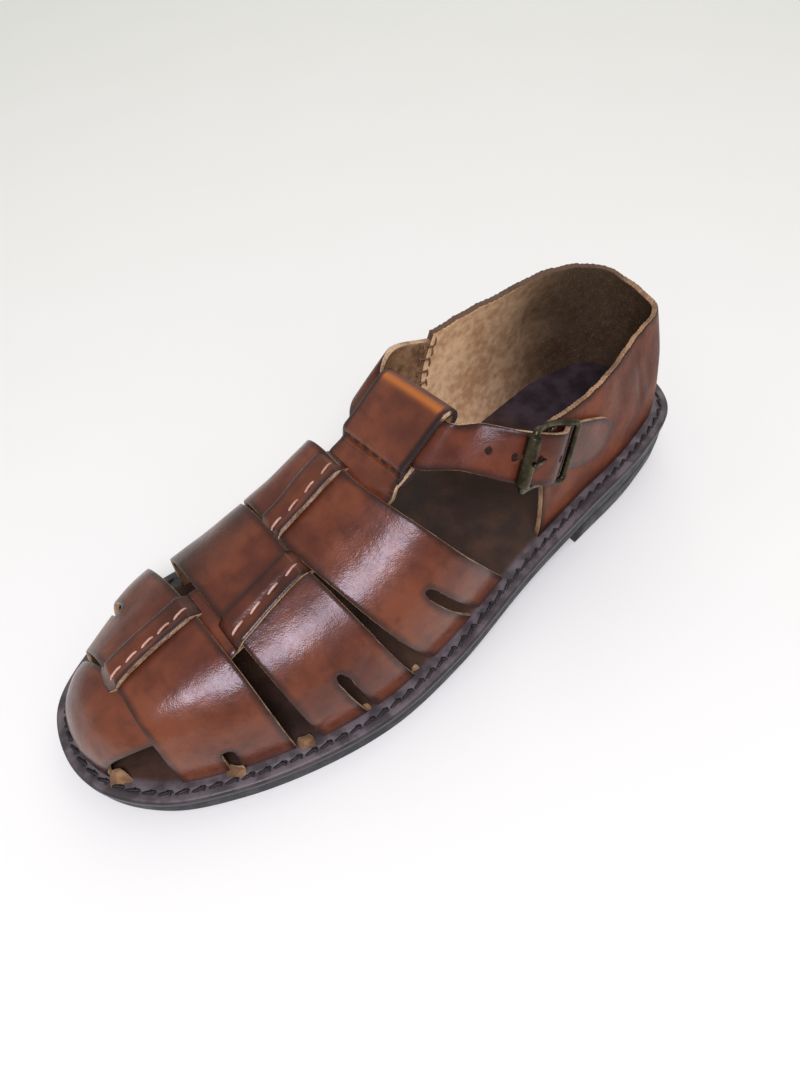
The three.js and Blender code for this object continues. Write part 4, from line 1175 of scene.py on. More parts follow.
    def prong(self, metal: bpy.types.Material) -> None:
        """Makes the eye round the centre bar and the arm that lies on the roller."""
        reach = S.wire + S.gap + S.prong
        angle = circle(20)
        eye = self.at(reach * np.cos(angle), 0.0, self.bar + reach * np.sin(angle))
        self.wire("prong_eye", eye, S.prong, True, metal, "buckle_prong", "prong_brass", 10)
        rest = self.frame + self.roller + S.gap + S.prong
        knots = [(reach * 0.55, self.bar + reach * 0.72), (S.bar_spacing * 0.55, rest * 0.84),
                 (S.bar_spacing + self.roller * 0.4, rest)]
        arm = Spline([self.at(a, 0.0, b) for a, b in knots])(np.linspace(0, 1, 14))
        radii = np.linspace(1, 0.8, 14) * S.prong * 1.15
        self.wire("prong_arm", arm, radii, False, metal, "buckle_prong", "prong_brass")

    def tab(self, leather: Sequence[bpy.types.Material]) -> None:
        """Makes the leather tab folded round the centre bar."""
        middle = S.wire + S.gap + S.tab_wall / 2
        low = S.gap + S.tab_wall / 2
        tail = S.bar_spacing + S.wire

        def surface(u: Array, v: Array) -> Array:
            """Returns: middle of the leather, flat behind and then round the bar."""
            angle = -np.pi / 2 + np.clip((v - 0.4) / 0.6, 0, 1) * 1.75 * np.pi
            along = np.where(v < 0.4, -tail + tail * v / 0.4, middle * np.cos(angle))
            away = np.where(v < 0.4, low, self.bar + middle * np.sin(angle))
            return self.at(along, (u - 0.5) * S.tab_width, away)

        sheet = Sheet(0.15)
        vs = np.concatenate([np.linspace(0, 0.4, 8), np.linspace(0.4, 1, 22)[1:]])
        sheet.add(lay(surface, lambda u, v: -S.tab_wall / 2, S.tab_wall, np.linspace(0, 1, 7), vs))
        attach(sheet.skin().make("buckle_chape", leather), "buckle_tab", "tab_leather")


class AnkleStrap:
    """Strap from the inner side through the loop and the buckle to its tip."""

    def __init__(self, buckle: Buckle) -> None:
        """Args:
            buckle: the buckle that the strap runs through.
        """
        self.buckle = buckle
        pairs = self.pairs()
        self.rails = [Spline([pair[k] for pair in pairs]) for k in range(2)]

    def pairs(self) -> list[tuple[Array, Array]]:
        """Returns: places of the rear and the front edge along the strap."""
        buckle = self.buckle
        zero = np.array([0.0])

        def front(v: float) -> Array:
            """Returns: middle of the wrap's inner front edge at a level."""
            level = np.array([v])
            place = WRAP.surface(zero, level)[0]
            return place - outward(WRAP.surface, zero + 0.002, level)[0] * S.quarter_wall / 2

        ahead = front(0.8) - WRAP.surface(np.array([0.04]), np.array([0.8]))[0]
        ahead[2] = 0
        ahead = unit(ahead)
        rows = [tuple(front(v) + ahead * BUTT_GAP for v in (0.96, 0.64))]
        scale = np.array([S.sole_length, S.ball_width, S.instep_height])
        rows.append(tuple(np.array(edge) * scale for edge in SPAN_INNER))
        for place in LOOP_PLACES:
            pair = []
            for x in (LOOP_REAR + LOOP_FOLD, LOOP_FRONT - S.loop_overlap - 1):
                y = LAST.middle(x / S.sole_length) * S.ball_width
                y = y + place * LAST.width(x / S.sole_length) * S.strap_width
                dx = LAST.over(x + 0.3, y) - LAST.over(x - 0.3, y)
                dy = LAST.over(x, y + 0.3) - LAST.over(x, y - 0.3)
                pair.append(LAST.over(x, y) + unit(np.cross(dx, dy)) * ANKLE_LIFT)
            rows.append(tuple(pair))
        rows.append(tuple(np.array(edge) * scale for edge in SPAN_OUTER))
        half = S.ankle_wall / 2
        for along, away in (
            (S.bar_spacing, buckle.frame - 1.2 * (buckle.roller + S.gap + half)),
            (0.0, buckle.bar + S.wire + 2 * S.gap + S.tab_wall + half),
            (-S.bar_spacing, buckle.frame - S.wire - S.gap - half),
        ):
            rows.append(tuple(buckle.at(along, side * S.ankle_width / 2, away) for side in (1, -1)))
        for wrap, level, width in CLOSURE_ROWS[1:]:
            at = np.array([wrap]), np.array([level])
            away = outward(WRAP.surface, *at)[0]
            middle = WRAP.surface(*at)[0] + away * (S.gap + half + 0.4)
            up = unit(np.cross(buckle.ahead, away))
            rows.append(tuple(middle + up * side * S.ankle_width * width / 2 for side in (1, -1)))
        return rows

    def surface(self, u: Array, v: Array) -> Array:
        """Returns: middle of the strap, across from its lower edge and along from its inner end."""
        u, v = np.broadcast_arrays(u, v)
        share = np.clip(v, 0, 1)
        upper, lower = self.rails[0](share), self.rails[1](share)
        return lower + (upper - lower) * u[..., None]

    def holes(self) -> list[tuple[Array, Array]]:
        """Returns: middle and direction of each punched hole."""
        v = np.linspace(0, 1, 600)
        line = self.surface(np.full(v.shape, 0.5), v)
        run = np.concatenate([[0], np.cumsum(np.linalg.norm(np.diff(line, axis=0), axis=1))])
        prong = self.buckle.at(S.bar_spacing * 0.5, 0.0, self.buckle.frame)
        start = run[int(np.argmin(np.linalg.norm(line - prong, axis=1)))]
        found = []
        for number in (*HOLE_NUMBERS, 0):
            share = np.interp(start - number * S.hole_pitch, run, v)
            at = np.array([0.5]), np.array([share])
            found.append((self.surface(*at)[0], outward(self.surface, *at)[0]))
        return found

    def build(self, leather: Sequence[bpy.types.Material]) -> None:
        """Makes the strap and punches its holes.

        Args:
            leather: grain, flesh and cut-edge materials.
        """

        def lift(u: Array, v: Array) -> Array:
            """Returns: place of the flesh side, with soft waves."""
            place = self.surface(u, v)
            dish = 0.14 * (1 - (2 * u - 1) ** 2)
            return -S.ankle_wall / 2 + dish + 0.06 * ripple(place[..., 0] * 1.6, place[..., 2] * 1.6, 6.2)

        def tone(_: Array, v: Array) -> Array:
            """Returns: painted shade under the roller, and darkness at the tip."""
            # Painted shade where the strap passes under the roller; plain darkening at the tip
            return 0.35 * mound((v - 0.71) / 0.03) + 0.3 * smoothstep(v, 0.93, 1)

        sheet = Sheet(0.28)
        us, vs = np.linspace(0, 1, 17), np.linspace(0, 1, 230)
        sheet.add(lay(self.surface, lift, S.ankle_wall, us, vs, tone))
        piece = sheet.skin().make("ankle_band", leather)
        for k, (place, away) in enumerate(self.holes()):
            drill = self.drill(place, away, S.hole_radius if k < len(HOLE_NUMBERS) else S.prong * 1.5)
            cut = piece.modifiers.new("hole", "BOOLEAN")
            cut.operation, cut.solver, cut.object = "DIFFERENCE", "EXACT", drill
            settle(piece)
            bpy.data.objects.remove(drill)
        attach(piece, "ankle_strap", "strap_leather")

    def ladder(self, thread: bpy.types.Material) -> None:
        """Sews the butt of strap and heel wrap together on the inside, like a ladder."""
        v = np.linspace(0.66, 0.93, 30)
        seam = np.zeros(v.shape)
        away = -outward(WRAP.surface, seam + 0.004, v)
        ahead = unit(self.surface(seam + 0.5, seam + 0.03) - WRAP.surface(seam + 0.04, v))
        middle = WRAP.surface(seam, v) + away * (S.quarter_wall + 0.25) + ahead * S.gap
        for name, aside, length, radius, slant, seed in (
            ("ladder_rungs", 0.0, 6.4, 0.42, math.pi / 2 - 0.2, 4),
            ("ladder_rear", -2.9, 4.2, 0.38, 0.15, 6),
            ("ladder_front", 2.9, 4.2, 0.38, 0.15, 6),
        ):
            row = StitchRow(name, "heel_quarter", "quarter_leather", 4.6, length, radius, slant, seed)
            row.sew(middle + ahead * aside, away, thread)

    @staticmethod
    def drill(place: Array, away: Array, radius: float) -> bpy.types.Object:
        """Returns: a round cutter through the strap."""
        side = unit(np.cross(away, [0.3, 0.2, 1.0]))
        top = np.cross(away, side)
        angle = circle(16)
        rim = side[None] * np.cos(angle)[:, None] * radius + top[None] * np.sin(angle)[:, None] * radius
        points = np.concatenate([place + rim - away * 2.5, place + rim + away * 2.5])
        faces = tube_faces(2, len(angle))
        return Skin(points, faces, [0] * len(faces)).make("strap_punch", [])


def settle(piece: bpy.types.Object) -> bpy.types.Object:
    """Returns: the piece with its modifiers worked into its mesh."""
    graph = bpy.context.evaluated_depsgraph_get()
    mesh = bpy.data.meshes.new_from_object(piece.evaluated_get(graph), depsgraph=graph)
    mesh.name = piece.name
    piece.modifiers.clear()
    old = piece.data
    piece.data = mesh
    bpy.data.meshes.remove(old)
    return piece


def groove_sides(cuts: Sequence[float]) -> list[float]:
    """Returns: places just inside and just outside both sides of each tread groove."""
    steps = (-GROOVE_STEP, GROOVE_STEP)
    return [cut + side * (S.track_width / 2 + step) for cut in cuts for side in (-1, 1) for step in steps]


class Plan:
    """Stations from heel to toe, used for every ring of the sole."""

    def __init__(self, count: int = 150) -> None:
        """Args:
            count: number of steps from heel to toe.
        """
        even = (1 - np.cos(np.pi * np.arange(count + 1) / count)) / 2
        self.cuts = np.array([start + S.track_pitch * k for start, number in GROOVES for k in range(number)])
        share = np.array(groove_sides(self.cuts)) / S.sole_length
        self.share = np.unique(np.round(np.concatenate([even, share]), 6))

    def ring(self, inset: float) -> tuple[Array, Array]:
        """Returns: outer and inner places of the stations at an inset."""
        foot = Footprint(inset)
        x = foot.heel[0] + (foot.toe[0] - foot.heel[0]) * self.share
        return np.stack([x, foot.side(x, True)], 1), np.stack([x, foot.side(x, False)], 1)


PLAN = Plan()


@dataclass
class Slab:
    """Closed body of the sole, made of rings and two caps of rungs."""

    rings: list[tuple[float, Callable[[Array], Array]]]
    top: Callable[[Array, Array], Array]
    bottom: Callable[[Array, Array], Array]
    rungs: int = 18

    def skin(self) -> Skin:
        """Returns: the closed mesh with its distance from the sole's edge."""
        points: list[Array] = []
        faces: list[tuple[int, ...]] = []
        n = len(PLAN.share)
        size = 2 * n - 2
        for inset, level in self.rings:
            outer, inner = PLAN.ring(inset)
            loop = np.concatenate([outer, inner[1:-1][::-1]])
            points.append(stack(loop[:, 0], loop[:, 1], level(loop[:, 0])))
        for k in range(len(self.rings) - 1):
            for i in range(size):
                j = (i + 1) % size
                faces.append((k * size + i, k * size + j, (k + 1) * size + j, (k + 1) * size + i))
        count = size * len(self.rings)
        for cap, shape in ((0, self.top), (len(self.rings) - 1, self.bottom)):
            outer, inner = PLAN.ring(self.rings[cap][0])
            share = np.linspace(0, 1, self.rungs + 1)[1:-1]
            x = np.repeat(outer[1:-1, 0:1], len(share), 1)
            y = outer[1:-1, 1:2] + (inner[1:-1, 1:2] - outer[1:-1, 1:2]) * share[None]
            points.append(stack(x, y, shape(x, y)).reshape(-1, 3))
            grid = np.empty((n - 2, self.rungs + 1), int)
            grid[:, 0] = cap * size + np.arange(1, n - 1)
            grid[:, -1] = cap * size + size - np.arange(1, n - 1)
            grid[:, 1:-1] = count + np.arange((n - 2) * len(share)).reshape(n - 2, -1)
            count += (n - 2) * len(share)
            for i in range(n - 3):
                for j in range(self.rungs):
                    faces.append((grid[i, j], grid[i, j + 1], grid[i + 1, j + 1], grid[i + 1, j]))
            for row, pole in ((0, cap * size), (-1, cap * size + n - 1)):
                for j in range(self.rungs):
                    faces.append((pole, grid[row, j], grid[row, j + 1]))
        cloud = np.concatenate(points)
        edge = distances(cloud * [1, 1, 0], np.pad(Footprint.edge(), ((0, 0), (0, 1))))
        plain = [tuple(int(a) for a in face) for face in faces]
        return Skin(cloud, plain, [0] * len(plain), edge, np.zeros(len(edge)))


class Sole:
    """Leather board with its stitched ledge, over the rubber unit and its heel."""

    # Edge of the board with its stitch channel: inset, drop
    BOARD_RINGS = (
        (6.4, 0.0), (5.2, 0.02), (4.5, 0.12), (3.9, 0.42), (3.3, 0.12), (2.5, 0.0), (1.3, 0.04), (0.6, 0.25),
        (0.15, 0.75), (0.0, 1.5), (0.0, 2.6), (0.25, 3.3), (0.6, 3.6), (5.0, 3.6),
    )
    # Edge of the rubber: inset, level from the ground (0) to the board (1)
    RUBBER_RINGS = (
        (5.0, 1), (1.4, 1), (0.9, 0.95), (0.7, 0.86), (0.7, 0.5), (0.7, 0.2), (1.0, 0.06), (1.7, 0),
    )
    # Heel block: inset, height
    HEEL_RINGS = ((2.8, 0.0), (2.3, 0.5), (1.2, 5.0), (0.75, 12.0), (0.9, 17.5))
    HEEL_RUNGS = 14
    RUBBER_RUNGS = 26
    SEAM_DEPTH = 0.3

    def board(self, leather: bpy.types.Material) -> None:
        """Makes the board, with a shallow channel for the stitches."""

        def at(drop: float) -> Callable[[Array], Array]:
            """Returns: the level at a drop under the board's top."""
            return lambda x: LAST.board(x) - drop

        def top(x: Array, y: Array) -> Array:
            """Returns: the trodden top, softly uneven."""
            return LAST.board(x) + 0.25 * ripple(x, y, 3.0)

        rings = [(inset, at(drop)) for inset, drop in self.BOARD_RINGS]
        slab = Slab(rings, top, lambda x, y: LAST.board(x) - S.board)
        attach(slab.skin().make("insole_leather", [leather]), "insole_board", "insole_leather")

    def rubber(self, rubber: bpy.types.Material) -> None:
        """Makes the rubber unit with its tread and the heel block."""

        def upper(x: Array) -> Array:
            """Returns: height of the face under the board."""
            return LAST.board(x) - S.board - S.gap

        def lower(x: Array) -> Array:
            """Returns: height of the face on the ground."""
            return LAST.board(x) - S.ball_top

        def at(share: float) -> Callable[[Array], Array]:
            """Returns: the level at a share of the way up."""
            return lambda x: upper(x) * share + lower(x) * (1 - share)

        def tread(x: Array, y: Array) -> Array:
            """Returns: the lower face with its grooves."""
            foot = Footprint(S.track_margin)
            inside = (y < foot.side(x, True)) & (y > foot.side(x, False))
            inside = inside & (x < foot.toe[0]) & (x > foot.heel[0])
            near = np.min(np.abs(x[..., None] - PLAN.cuts), axis=-1) < S.track_width / 2
            return lower(x) + np.where(inside & near, S.track_depth, 0.0)

        rings = [(inset, at(level)) for inset, level in self.RUBBER_RINGS]
        slab = Slab(rings, lambda x, y: upper(x), tread, self.RUBBER_RUNGS)
        attach(slab.skin().make("sole_rubber", [rubber]), "outsole", "sole_rubber")
        attach(self.heel().make("heel_rubber", [rubber]), "outsole", "sole_rubber")

    def heel(self) -> Skin:
        """Returns: the heel block, open to the sole above and grooved below."""
        even = (1 - np.cos(np.pi / 2 * np.arange(41) / 40)) * S.heel_length
        cuts = PLAN.cuts[PLAN.cuts < S.heel_length]
        x = np.unique(np.round(np.concatenate([even, groove_sides(cuts)]), 4))
        grids = []
        for inset, height in self.HEEL_RINGS:
            foot = Footprint(inset)
            place = foot.heel[0] + (S.heel_length - foot.heel[0]) * x / S.heel_length
            outer = np.stack([place, foot.side(place, True)], 1)
            inner = np.stack([place, foot.side(place, False)], 1)
            share = np.linspace(0, 1, self.HEEL_RUNGS + 1)[None, :, None]
            grid = outer[:, None] + (inner - outer)[:, None] * share
            z = np.minimum(height, LAST.board(grid[..., 0]) - S.ball_top + 2) + np.zeros(grid.shape[:2])
            grids.append(np.concatenate([grid, z[..., None]], -1))
        edge = Footprint(S.track_margin)
        low = grids[0]
        inside = (low[..., 1] < edge.side(low[..., 0], True)) & (low[..., 1] > edge.side(low[..., 0], False))
        near = np.min(np.abs(low[..., 0][..., None] - cuts), axis=-1) < S.track_width / 2
        low[..., 2] = np.where(inside & near & (low[..., 0] > edge.heel[0]), S.track_depth, 0.0)
        n, m = low.shape[:2]
        ring = [(i, 0) for i in range(n)] + [(n - 1, j) for j in range(1, m)]
        ring += [(i, m - 1) for i in range(n - 2, 0, -1)]
        points = [low.reshape(-1, 3), grids[-1].reshape(-1, 3)]
        points += [np.array([grid[a] for a in ring]) for grid in grids[1:-1]]
        size, width = n * m, len(ring)
        faces: list[tuple[int, ...]] = []
        for base in (0, size):
            for i in range(n - 1):
                for j in range(m - 1):
                    a, b = base + i * m + j, base + (i + 1) * m + j
                    quad = (a, a + 1, b + 1, b)
                    faces.append((base, b + 1, b) if i == 0 else quad)
        index = [[a * m + b for a, b in ring]]
        index += [[2 * size + k * width + i for i in range(width)] for k in range(len(grids) - 2)]
        index.append([size + a * m + b for a, b in ring])
        for near_ring, far_ring in zip(index, index[1:]):
            for i in range(width):
                j = (i + 1) % width
                faces.append((near_ring[i], near_ring[j], far_ring[j], far_ring[i]))
        return weld(Skin(np.concatenate(points), faces, [0] * len(faces)))

    def welt(self, thread: bpy.types.Material) -> None:
        """Sews the ledge with long strands and a knot between each two."""
        seam = Footprint(S.stitch_inset)
        line = np.concatenate([seam.outer, seam.inner[::-1]])
        path = stack(line[:, 0], line[:, 1], LAST.board(line[:, 0]) - self.SEAM_DEPTH)
        ups = np.tile([0.0, 0.0, 1.0], (len(path), 1))
        strand = StitchRow(
            "welt_strands", "insole_board", "insole_leather",
            S.stitch_pitch, length=6.6, radius=0.62, slant=0.24, seed=7,
        )
        strand.sew(path, ups, thread)
        knot = StitchRow(
            "welt_knots", "insole_board", "insole_leather",
            S.stitch_pitch, length=3.4, radius=0.5, slant=-0.95, seed=9,
        )
        knot.sew(path[8:] + [0, 0, 0.12], ups[8:], thread)


def weld(skin: Skin) -> Skin:
    """Returns: the skin with vertices at one place joined."""
    keys: dict[tuple[float, ...], int] = {}
    index = [keys.setdefault(tuple(row), len(keys)) for row in np.round(skin.points, 4)]
    faces = []
    kinds = []
    for face, kind in zip(skin.faces, skin.kinds):
        ring = [index[a] for a in face]
        kept = tuple(a for k, a in enumerate(ring) if a != ring[k - 1])
        if len(set(kept)) > 2:
            faces.append(kept)
            kinds.append(kind)
    return Skin(np.array(list(keys)), faces, kinds)


@dataclass(frozen=True)
class StitchRow:
    """Thread laid in equal stitches along a line."""

    SIDES = 7

    name: str
    node: str
    slot: str
    pitch: float
    length: float
    radius: float
    slant: float
    seed: int

    def sew(self, path: Array, ups: Array, thread: bpy.types.Material) -> bpy.types.Object:
        """Args:
            path: points of the seam in millimetres.
            ups: directions away from the leather.
            thread: material of the thread.

        Returns: the sewn row as one piece.
        """
        mesh = bpy.data.meshes.new(self.name + "_line")
        mesh.from_pydata(to_frame(path).tolist(), [(i, i + 1) for i in range(len(path) - 1)], [])
        layer = mesh.attributes.new("face_up", "FLOAT_VECTOR", "POINT")
        layer.data.foreach_set("vector", ups.astype(float).ravel())
        piece = bpy.data.objects.new(self.name, mesh)
        bpy.context.scene.collection.objects.link(piece)
        model = self.stitch(thread)
        modifier = piece.modifiers.new("sewing", "NODES")
        modifier.node_group = sewing_nodes()
        items = modifier.node_group.interface.items_tree
        sockets = {item.name: item.identifier for item in items if item.in_out == "INPUT"}
        modifier[sockets["Stitch"]] = model
        modifier[sockets["Pitch"]] = self.pitch / 1000
        modifier[sockets["Slant"]] = self.slant
        modifier[sockets["Seed"]] = self.seed
        modifier[sockets["Thread"]] = thread
        settle(piece)
        bpy.data.objects.remove(model)
        piece.data.materials.clear()
        piece.data.materials.append(thread)
        for face in piece.data.polygons:
            face.use_smooth = True
        return attach(piece, self.node, self.slot)

    def stitch(self, thread: bpy.types.Material) -> bpy.types.Object:
        """Returns: one stitch of thread whose ends dive into the leather, at the origin."""
        t = np.linspace(-1, 1, 9)
        middle = np.stack([t * self.length / 2, t * 0, self.radius * (0.55 - 2.1 * np.abs(t) ** 3.2)], 1)
        angle = circle(self.SIDES)
        wide = self.radius * (1 - 0.3 * np.abs(t) ** 4)
        rim = np.stack([angle * 0, np.cos(angle), np.sin(angle) * 0.85], 1)
        points = (middle[:, None] + rim[None] * wide[:, None, None]).reshape(-1, 3)
        faces = tube_faces(len(t), self.SIDES)
        return Skin(points + SHIFT, faces, [0] * len(faces)).make(self.name + "_stitch", [thread])


def sewing_nodes() -> bpy.types.NodeTree:
    """Returns: the node group that lays stitches along a line, made once."""
    if "sewing" in bpy.data.node_groups:
        return bpy.data.node_groups["sewing"]
    tree = bpy.data.node_groups.new("sewing", "GeometryNodeTree")
    face = tree.interface
    face.new_socket("Line", in_out="INPUT", socket_type="NodeSocketGeometry")
    inputs = {"Stitch": "Object", "Pitch": "Float", "Slant": "Float", "Seed": "Int", "Thread": "Material"}
    for label, kind in inputs.items():
        face.new_socket(label, in_out="INPUT", socket_type="NodeSocket" + kind)
    face.new_socket("Row", in_out="OUTPUT", socket_type="NodeSocketGeometry")
    given = node(tree, "NodeGroupInput")
    curve = node(tree, "GeometryNodeMeshToCurve", {"Mesh": given.outputs["Line"]})
    lengths = {"Curve": curve.outputs[0], "Length": given.outputs["Pitch"]}
    even = node(tree, "GeometryNodeResampleCurve", lengths, mode="LENGTH")
    tangent = node(tree, "GeometryNodeInputTangent")
    up = node(tree, "GeometryNodeInputNamedAttribute", {"Name": "face_up"}, data_type="FLOAT_VECTOR")
    stand = node(tree, "FunctionNodeAlignRotationToVector", {"Vector": up.outputs["Attribute"]}, axis="Z")
    turn = node(
        tree, "FunctionNodeAlignRotationToVector",
        {"Rotation": stand.outputs[0], "Vector": tangent.outputs[0]}, axis="X", pivot_axis="Z",
    )
    stray = node(tree, "FunctionNodeRandomValue", {"Seed": given.outputs["Seed"]}, data_type="FLOAT")
    for number, limit in ((2, -STRAY), (3, STRAY)):
        stray.inputs[number].default_value = limit
    total = node(tree, "ShaderNodeMath", {0: given.outputs["Slant"], 1: stray.outputs[1]}, operation="ADD")
    spin = node(tree, "ShaderNodeCombineXYZ", {"Z": total.outputs[0]})
    turns = {0: turn.outputs[0], 1: spin.outputs[0]}
    lean = node(tree, "FunctionNodeRotateRotation", turns, rotation_space="LOCAL")
    info = node(tree, "GeometryNodeObjectInfo", {"Object": given.outputs["Stitch"]})
    laid = node(
        tree, "GeometryNodeInstanceOnPoints",
        {"Points": even.outputs[0], "Instance": info.outputs["Geometry"], "Rotation": lean.outputs[0]},
    )
    real = node(tree, "GeometryNodeRealizeInstances", {"Geometry": laid.outputs[0]})
    dye = {"Geometry": real.outputs[0], "Material": given.outputs["Thread"]}
    dyed = node(tree, "GeometryNodeSetMaterial", dye)
    node(tree, "NodeGroupOutput", {0: dyed.outputs[0]})
    return tree


def node(tree: bpy.types.NodeTree, kind: str, links: dict | None = None,
         **settings: object) -> bpy.types.Node:
    """Args:
        tree: node tree.
        kind: type of the new node.
        links: for inputs by name or number, an output socket to link or a plain value.
        settings: properties of the node.

    Returns: the new node.
    """
    made = tree.nodes.new(kind)
    for key, value in settings.items():
        setattr(made, key, value)
    for key, value in (links or {}).items():
        socket = made.inputs[key]
        if isinstance(value, bpy.types.NodeSocket):
            tree.links.new(value, socket)
        else:
            socket.default_value = value
    return made


def colour(code: str) -> tuple[float, float, float, float]:
    """Args:
        code: sRGB colour as six hexadecimal digits.

    Returns: the linear colour.
    """
    parts = [int(code[k : k + 2], 16) / 255 for k in (0, 2, 4)]
    linear = [c / 12.92 if c <= 0.04045 else ((c + 0.055) / 1.055) ** 2.4 for c in parts]
    return (linear[0], linear[1], linear[2], 1.0)


class Finish:
    """A material under construction, with helpers for patterns sized in millimetres."""

    def __init__(self, name: str) -> None:
        """Args:
            name: what the material is.
        """
        self.material = bpy.data.materials.new(name)
        self.material.use_nodes = True
        self.tree = self.material.node_tree
        self.shader = self.tree.nodes["Principled BSDF"]
        self.place = node(self.tree, "ShaderNodeTexCoord").outputs["Object"]

    def noise(self, size: float, detail: float = 3.0, stretch: tuple[float, float, float] = (1, 1, 1),
              distortion: float = 0.0) -> bpy.types.NodeSocket:
        """Args:
            size: width of its patches in millimetres.
            detail: octaves.
            stretch: scale of each direction.
            distortion: how far it is warped.

        Returns: cloudy values.
        """
        spot = self.place
        if stretch != (1, 1, 1):
            spot = node(self.tree, "ShaderNodeMapping", {"Vector": spot, "Scale": stretch}).outputs[0]
        settings = {"Vector": spot, "Scale": 1000 / size, "Detail": detail, "Distortion": distortion}
        return node(self.tree, "ShaderNodeTexNoise", settings).outputs[0]

    def cells(self, size: float, feature: str = "F1") -> bpy.types.NodeSocket:
        """Returns: distance in cells of a width in millimetres."""
        settings = {"Vector": self.place, "Scale": 1000 / size}
        return node(self.tree, "ShaderNodeTexVoronoi", settings, feature=feature).outputs["Distance"]

    def ramp(self, value: bpy.types.NodeSocket, low: float, high: float, start: float = 0.0,
             end: float = 1.0) -> bpy.types.NodeSocket:
        """Returns: the value moved from one range to another, softly."""
        settings = {"Value": value, "From Min": low, "From Max": high, "To Min": start, "To Max": end}
        return node(self.tree, "ShaderNodeMapRange", settings, interpolation_type="SMOOTHSTEP").outputs[0]

    def axis(self, number: int) -> bpy.types.NodeSocket:
        """Returns: place along one axis of the frame, in metres."""
        return node(self.tree, "ShaderNodeSeparateXYZ", {0: self.place}).outputs[number]

    def attribute(self, name: str) -> bpy.types.NodeSocket:
        """Returns: a value painted on the mesh."""
        return node(self.tree, "ShaderNodeAttribute", attribute_name=name).outputs["Fac"]

    def blend(self, share: bpy.types.NodeSocket, under: object, over: object) -> bpy.types.NodeSocket:
        """Returns: a colour between two, each a hexadecimal code or a socket."""
        made = node(self.tree, "ShaderNodeMix", {"Factor": share}, data_type="RGBA")
        for number, value in ((6, under), (7, over)):
            if isinstance(value, str):
                made.inputs[number].default_value = colour(value)
            else:
                self.tree.links.new(value, made.inputs[number])
        return made.outputs[2]

    def sum(self, *terms: tuple[bpy.types.NodeSocket, float]) -> bpy.types.NodeSocket:
        """Returns: the sum of sockets, each times a factor."""
        total = None
        for socket, factor in terms:
            settings = {0: socket, 1: factor, 2: 0.0 if total is None else total}
            total = node(self.tree, "ShaderNodeMath", settings, operation="MULTIPLY_ADD").outputs[0]
        return total

    def finish(self, tint: bpy.types.NodeSocket, rough: bpy.types.NodeSocket, height: bpy.types.NodeSocket,
               depth: float, **uniform: float) -> bpy.types.Material:
        """Args:
            tint: colour.
            rough: roughness.
            height: relief in millimetres.
            depth: strength of the relief.
            uniform: plain values of the shader's own inputs.

        Returns: the material.
        """
        bump = node(self.tree, "ShaderNodeBump", {"Height": height, "Distance": 0.001, "Strength": depth})
        self.tree.links.new(tint, self.shader.inputs["Base Color"])
        self.tree.links.new(rough, self.shader.inputs["Roughness"])
        self.tree.links.new(bump.outputs[0], self.shader.inputs["Normal"])
        self.tree.links.new(bump.outputs[0], self.shader.inputs["Coat Normal"])
        for key, value in uniform.items():
            self.shader.inputs[key.replace("_", " ")].default_value = value
        return self.material


@dataclass(frozen=True)
class GrainLeather:
    """Glazed, hand-burnished calf leather."""

    name: str
    light: str
    dark: str
    burnt: str
    gloss: float = 0.27
    shine: float = 0.34
    coat: float = 0.2
    # Dark colour that the tone attribute mixes in: painted shade where a piece's tone marks shade, soiling
    # elsewhere
    soil_and_shade: str = "21100B"
    rubbed: str = "C0702A"

    def make(self) -> bpy.types.Material:
        """Returns: the material."""
        f = Finish(self.name)
        cloud, patch, streak = f.noise(34, 3), f.noise(9, 4), f.noise(4.5, 3, (1, 0.4, 1))
        tint = f.blend(f.ramp(f.sum((cloud, 0.6), (patch, 0.4)), 0.36, 0.64), self.dark, self.light)
        tint = f.blend(f.ramp(streak, 0.5, 0.8, 0, 0.35), tint, self.burnt)
        rim = f.ramp(f.sum((f.attribute("edge"), 1.0), (f.noise(6), 2.2)), 1.1, 4.2, 0.85, 0)
        tint = f.blend(rim, tint, self.burnt)
        tone = f.attribute("tone")
        # Positive tone mixes in the dark colour: painted shade and soiling
        tint = f.blend(f.ramp(tone, 0, 1), tint, self.soil_and_shade)
        tint = f.blend(f.ramp(tone, -1, 0, 1, 0), tint, self.rubbed)
        pores, wrinkle = f.cells(0.6), f.noise(1.3, 3, distortion=0.6)
        height = f.sum((pores, 0.04), (wrinkle, 0.09), (f.noise(6, 2), 0.3))
        wear = f.sum((f.noise(14), 0.6), (f.noise(1.5), 0.4))
        rough = f.ramp(wear, 0.3, 0.7, self.gloss - 0.05, self.gloss + 0.13)
        return f.finish(tint, rough, height, 0.6, Coat_Weight=self.coat, Coat_Roughness=0.13,
                        Specular_IOR_Level=self.shine)


@dataclass(frozen=True)
class Suede:
    """Flesh side of the leather: dull, mottled and fibrous."""

    name: str
    light: str
    dark: str
    # Colour of painted shade deep in the heel cup, if any
    deep: str = ""

    def make(self) -> bpy.types.Material:
        """Returns: the material."""
        f = Finish(self.name)
        mottle = f.sum((f.noise(26, 4), 0.5), (f.noise(3.5, 4), 0.5))
        tint = f.blend(f.ramp(mottle, 0.36, 0.62), self.dark, self.light)
        # Painted shade: the lining darkens towards the back of the heel cup
        if self.deep:
            back = f.ramp(f.axis(0), -0.115, -0.045, 0.92, 0)
            tint = f.blend(back, tint, self.deep)
        fibre = f.noise(0.5, 3, (1, 1, 0.5))
        tint = f.blend(f.ramp(fibre, 0.55, 0.75, 0, 0.25), tint, self.dark)
        height = f.sum((fibre, 0.3), (f.noise(2.4), 0.3))
        return f.finish(tint, f.ramp(mottle, 0.3, 0.7, 0.75, 0.92), height, 0.6, Specular_IOR_Level=0.15)


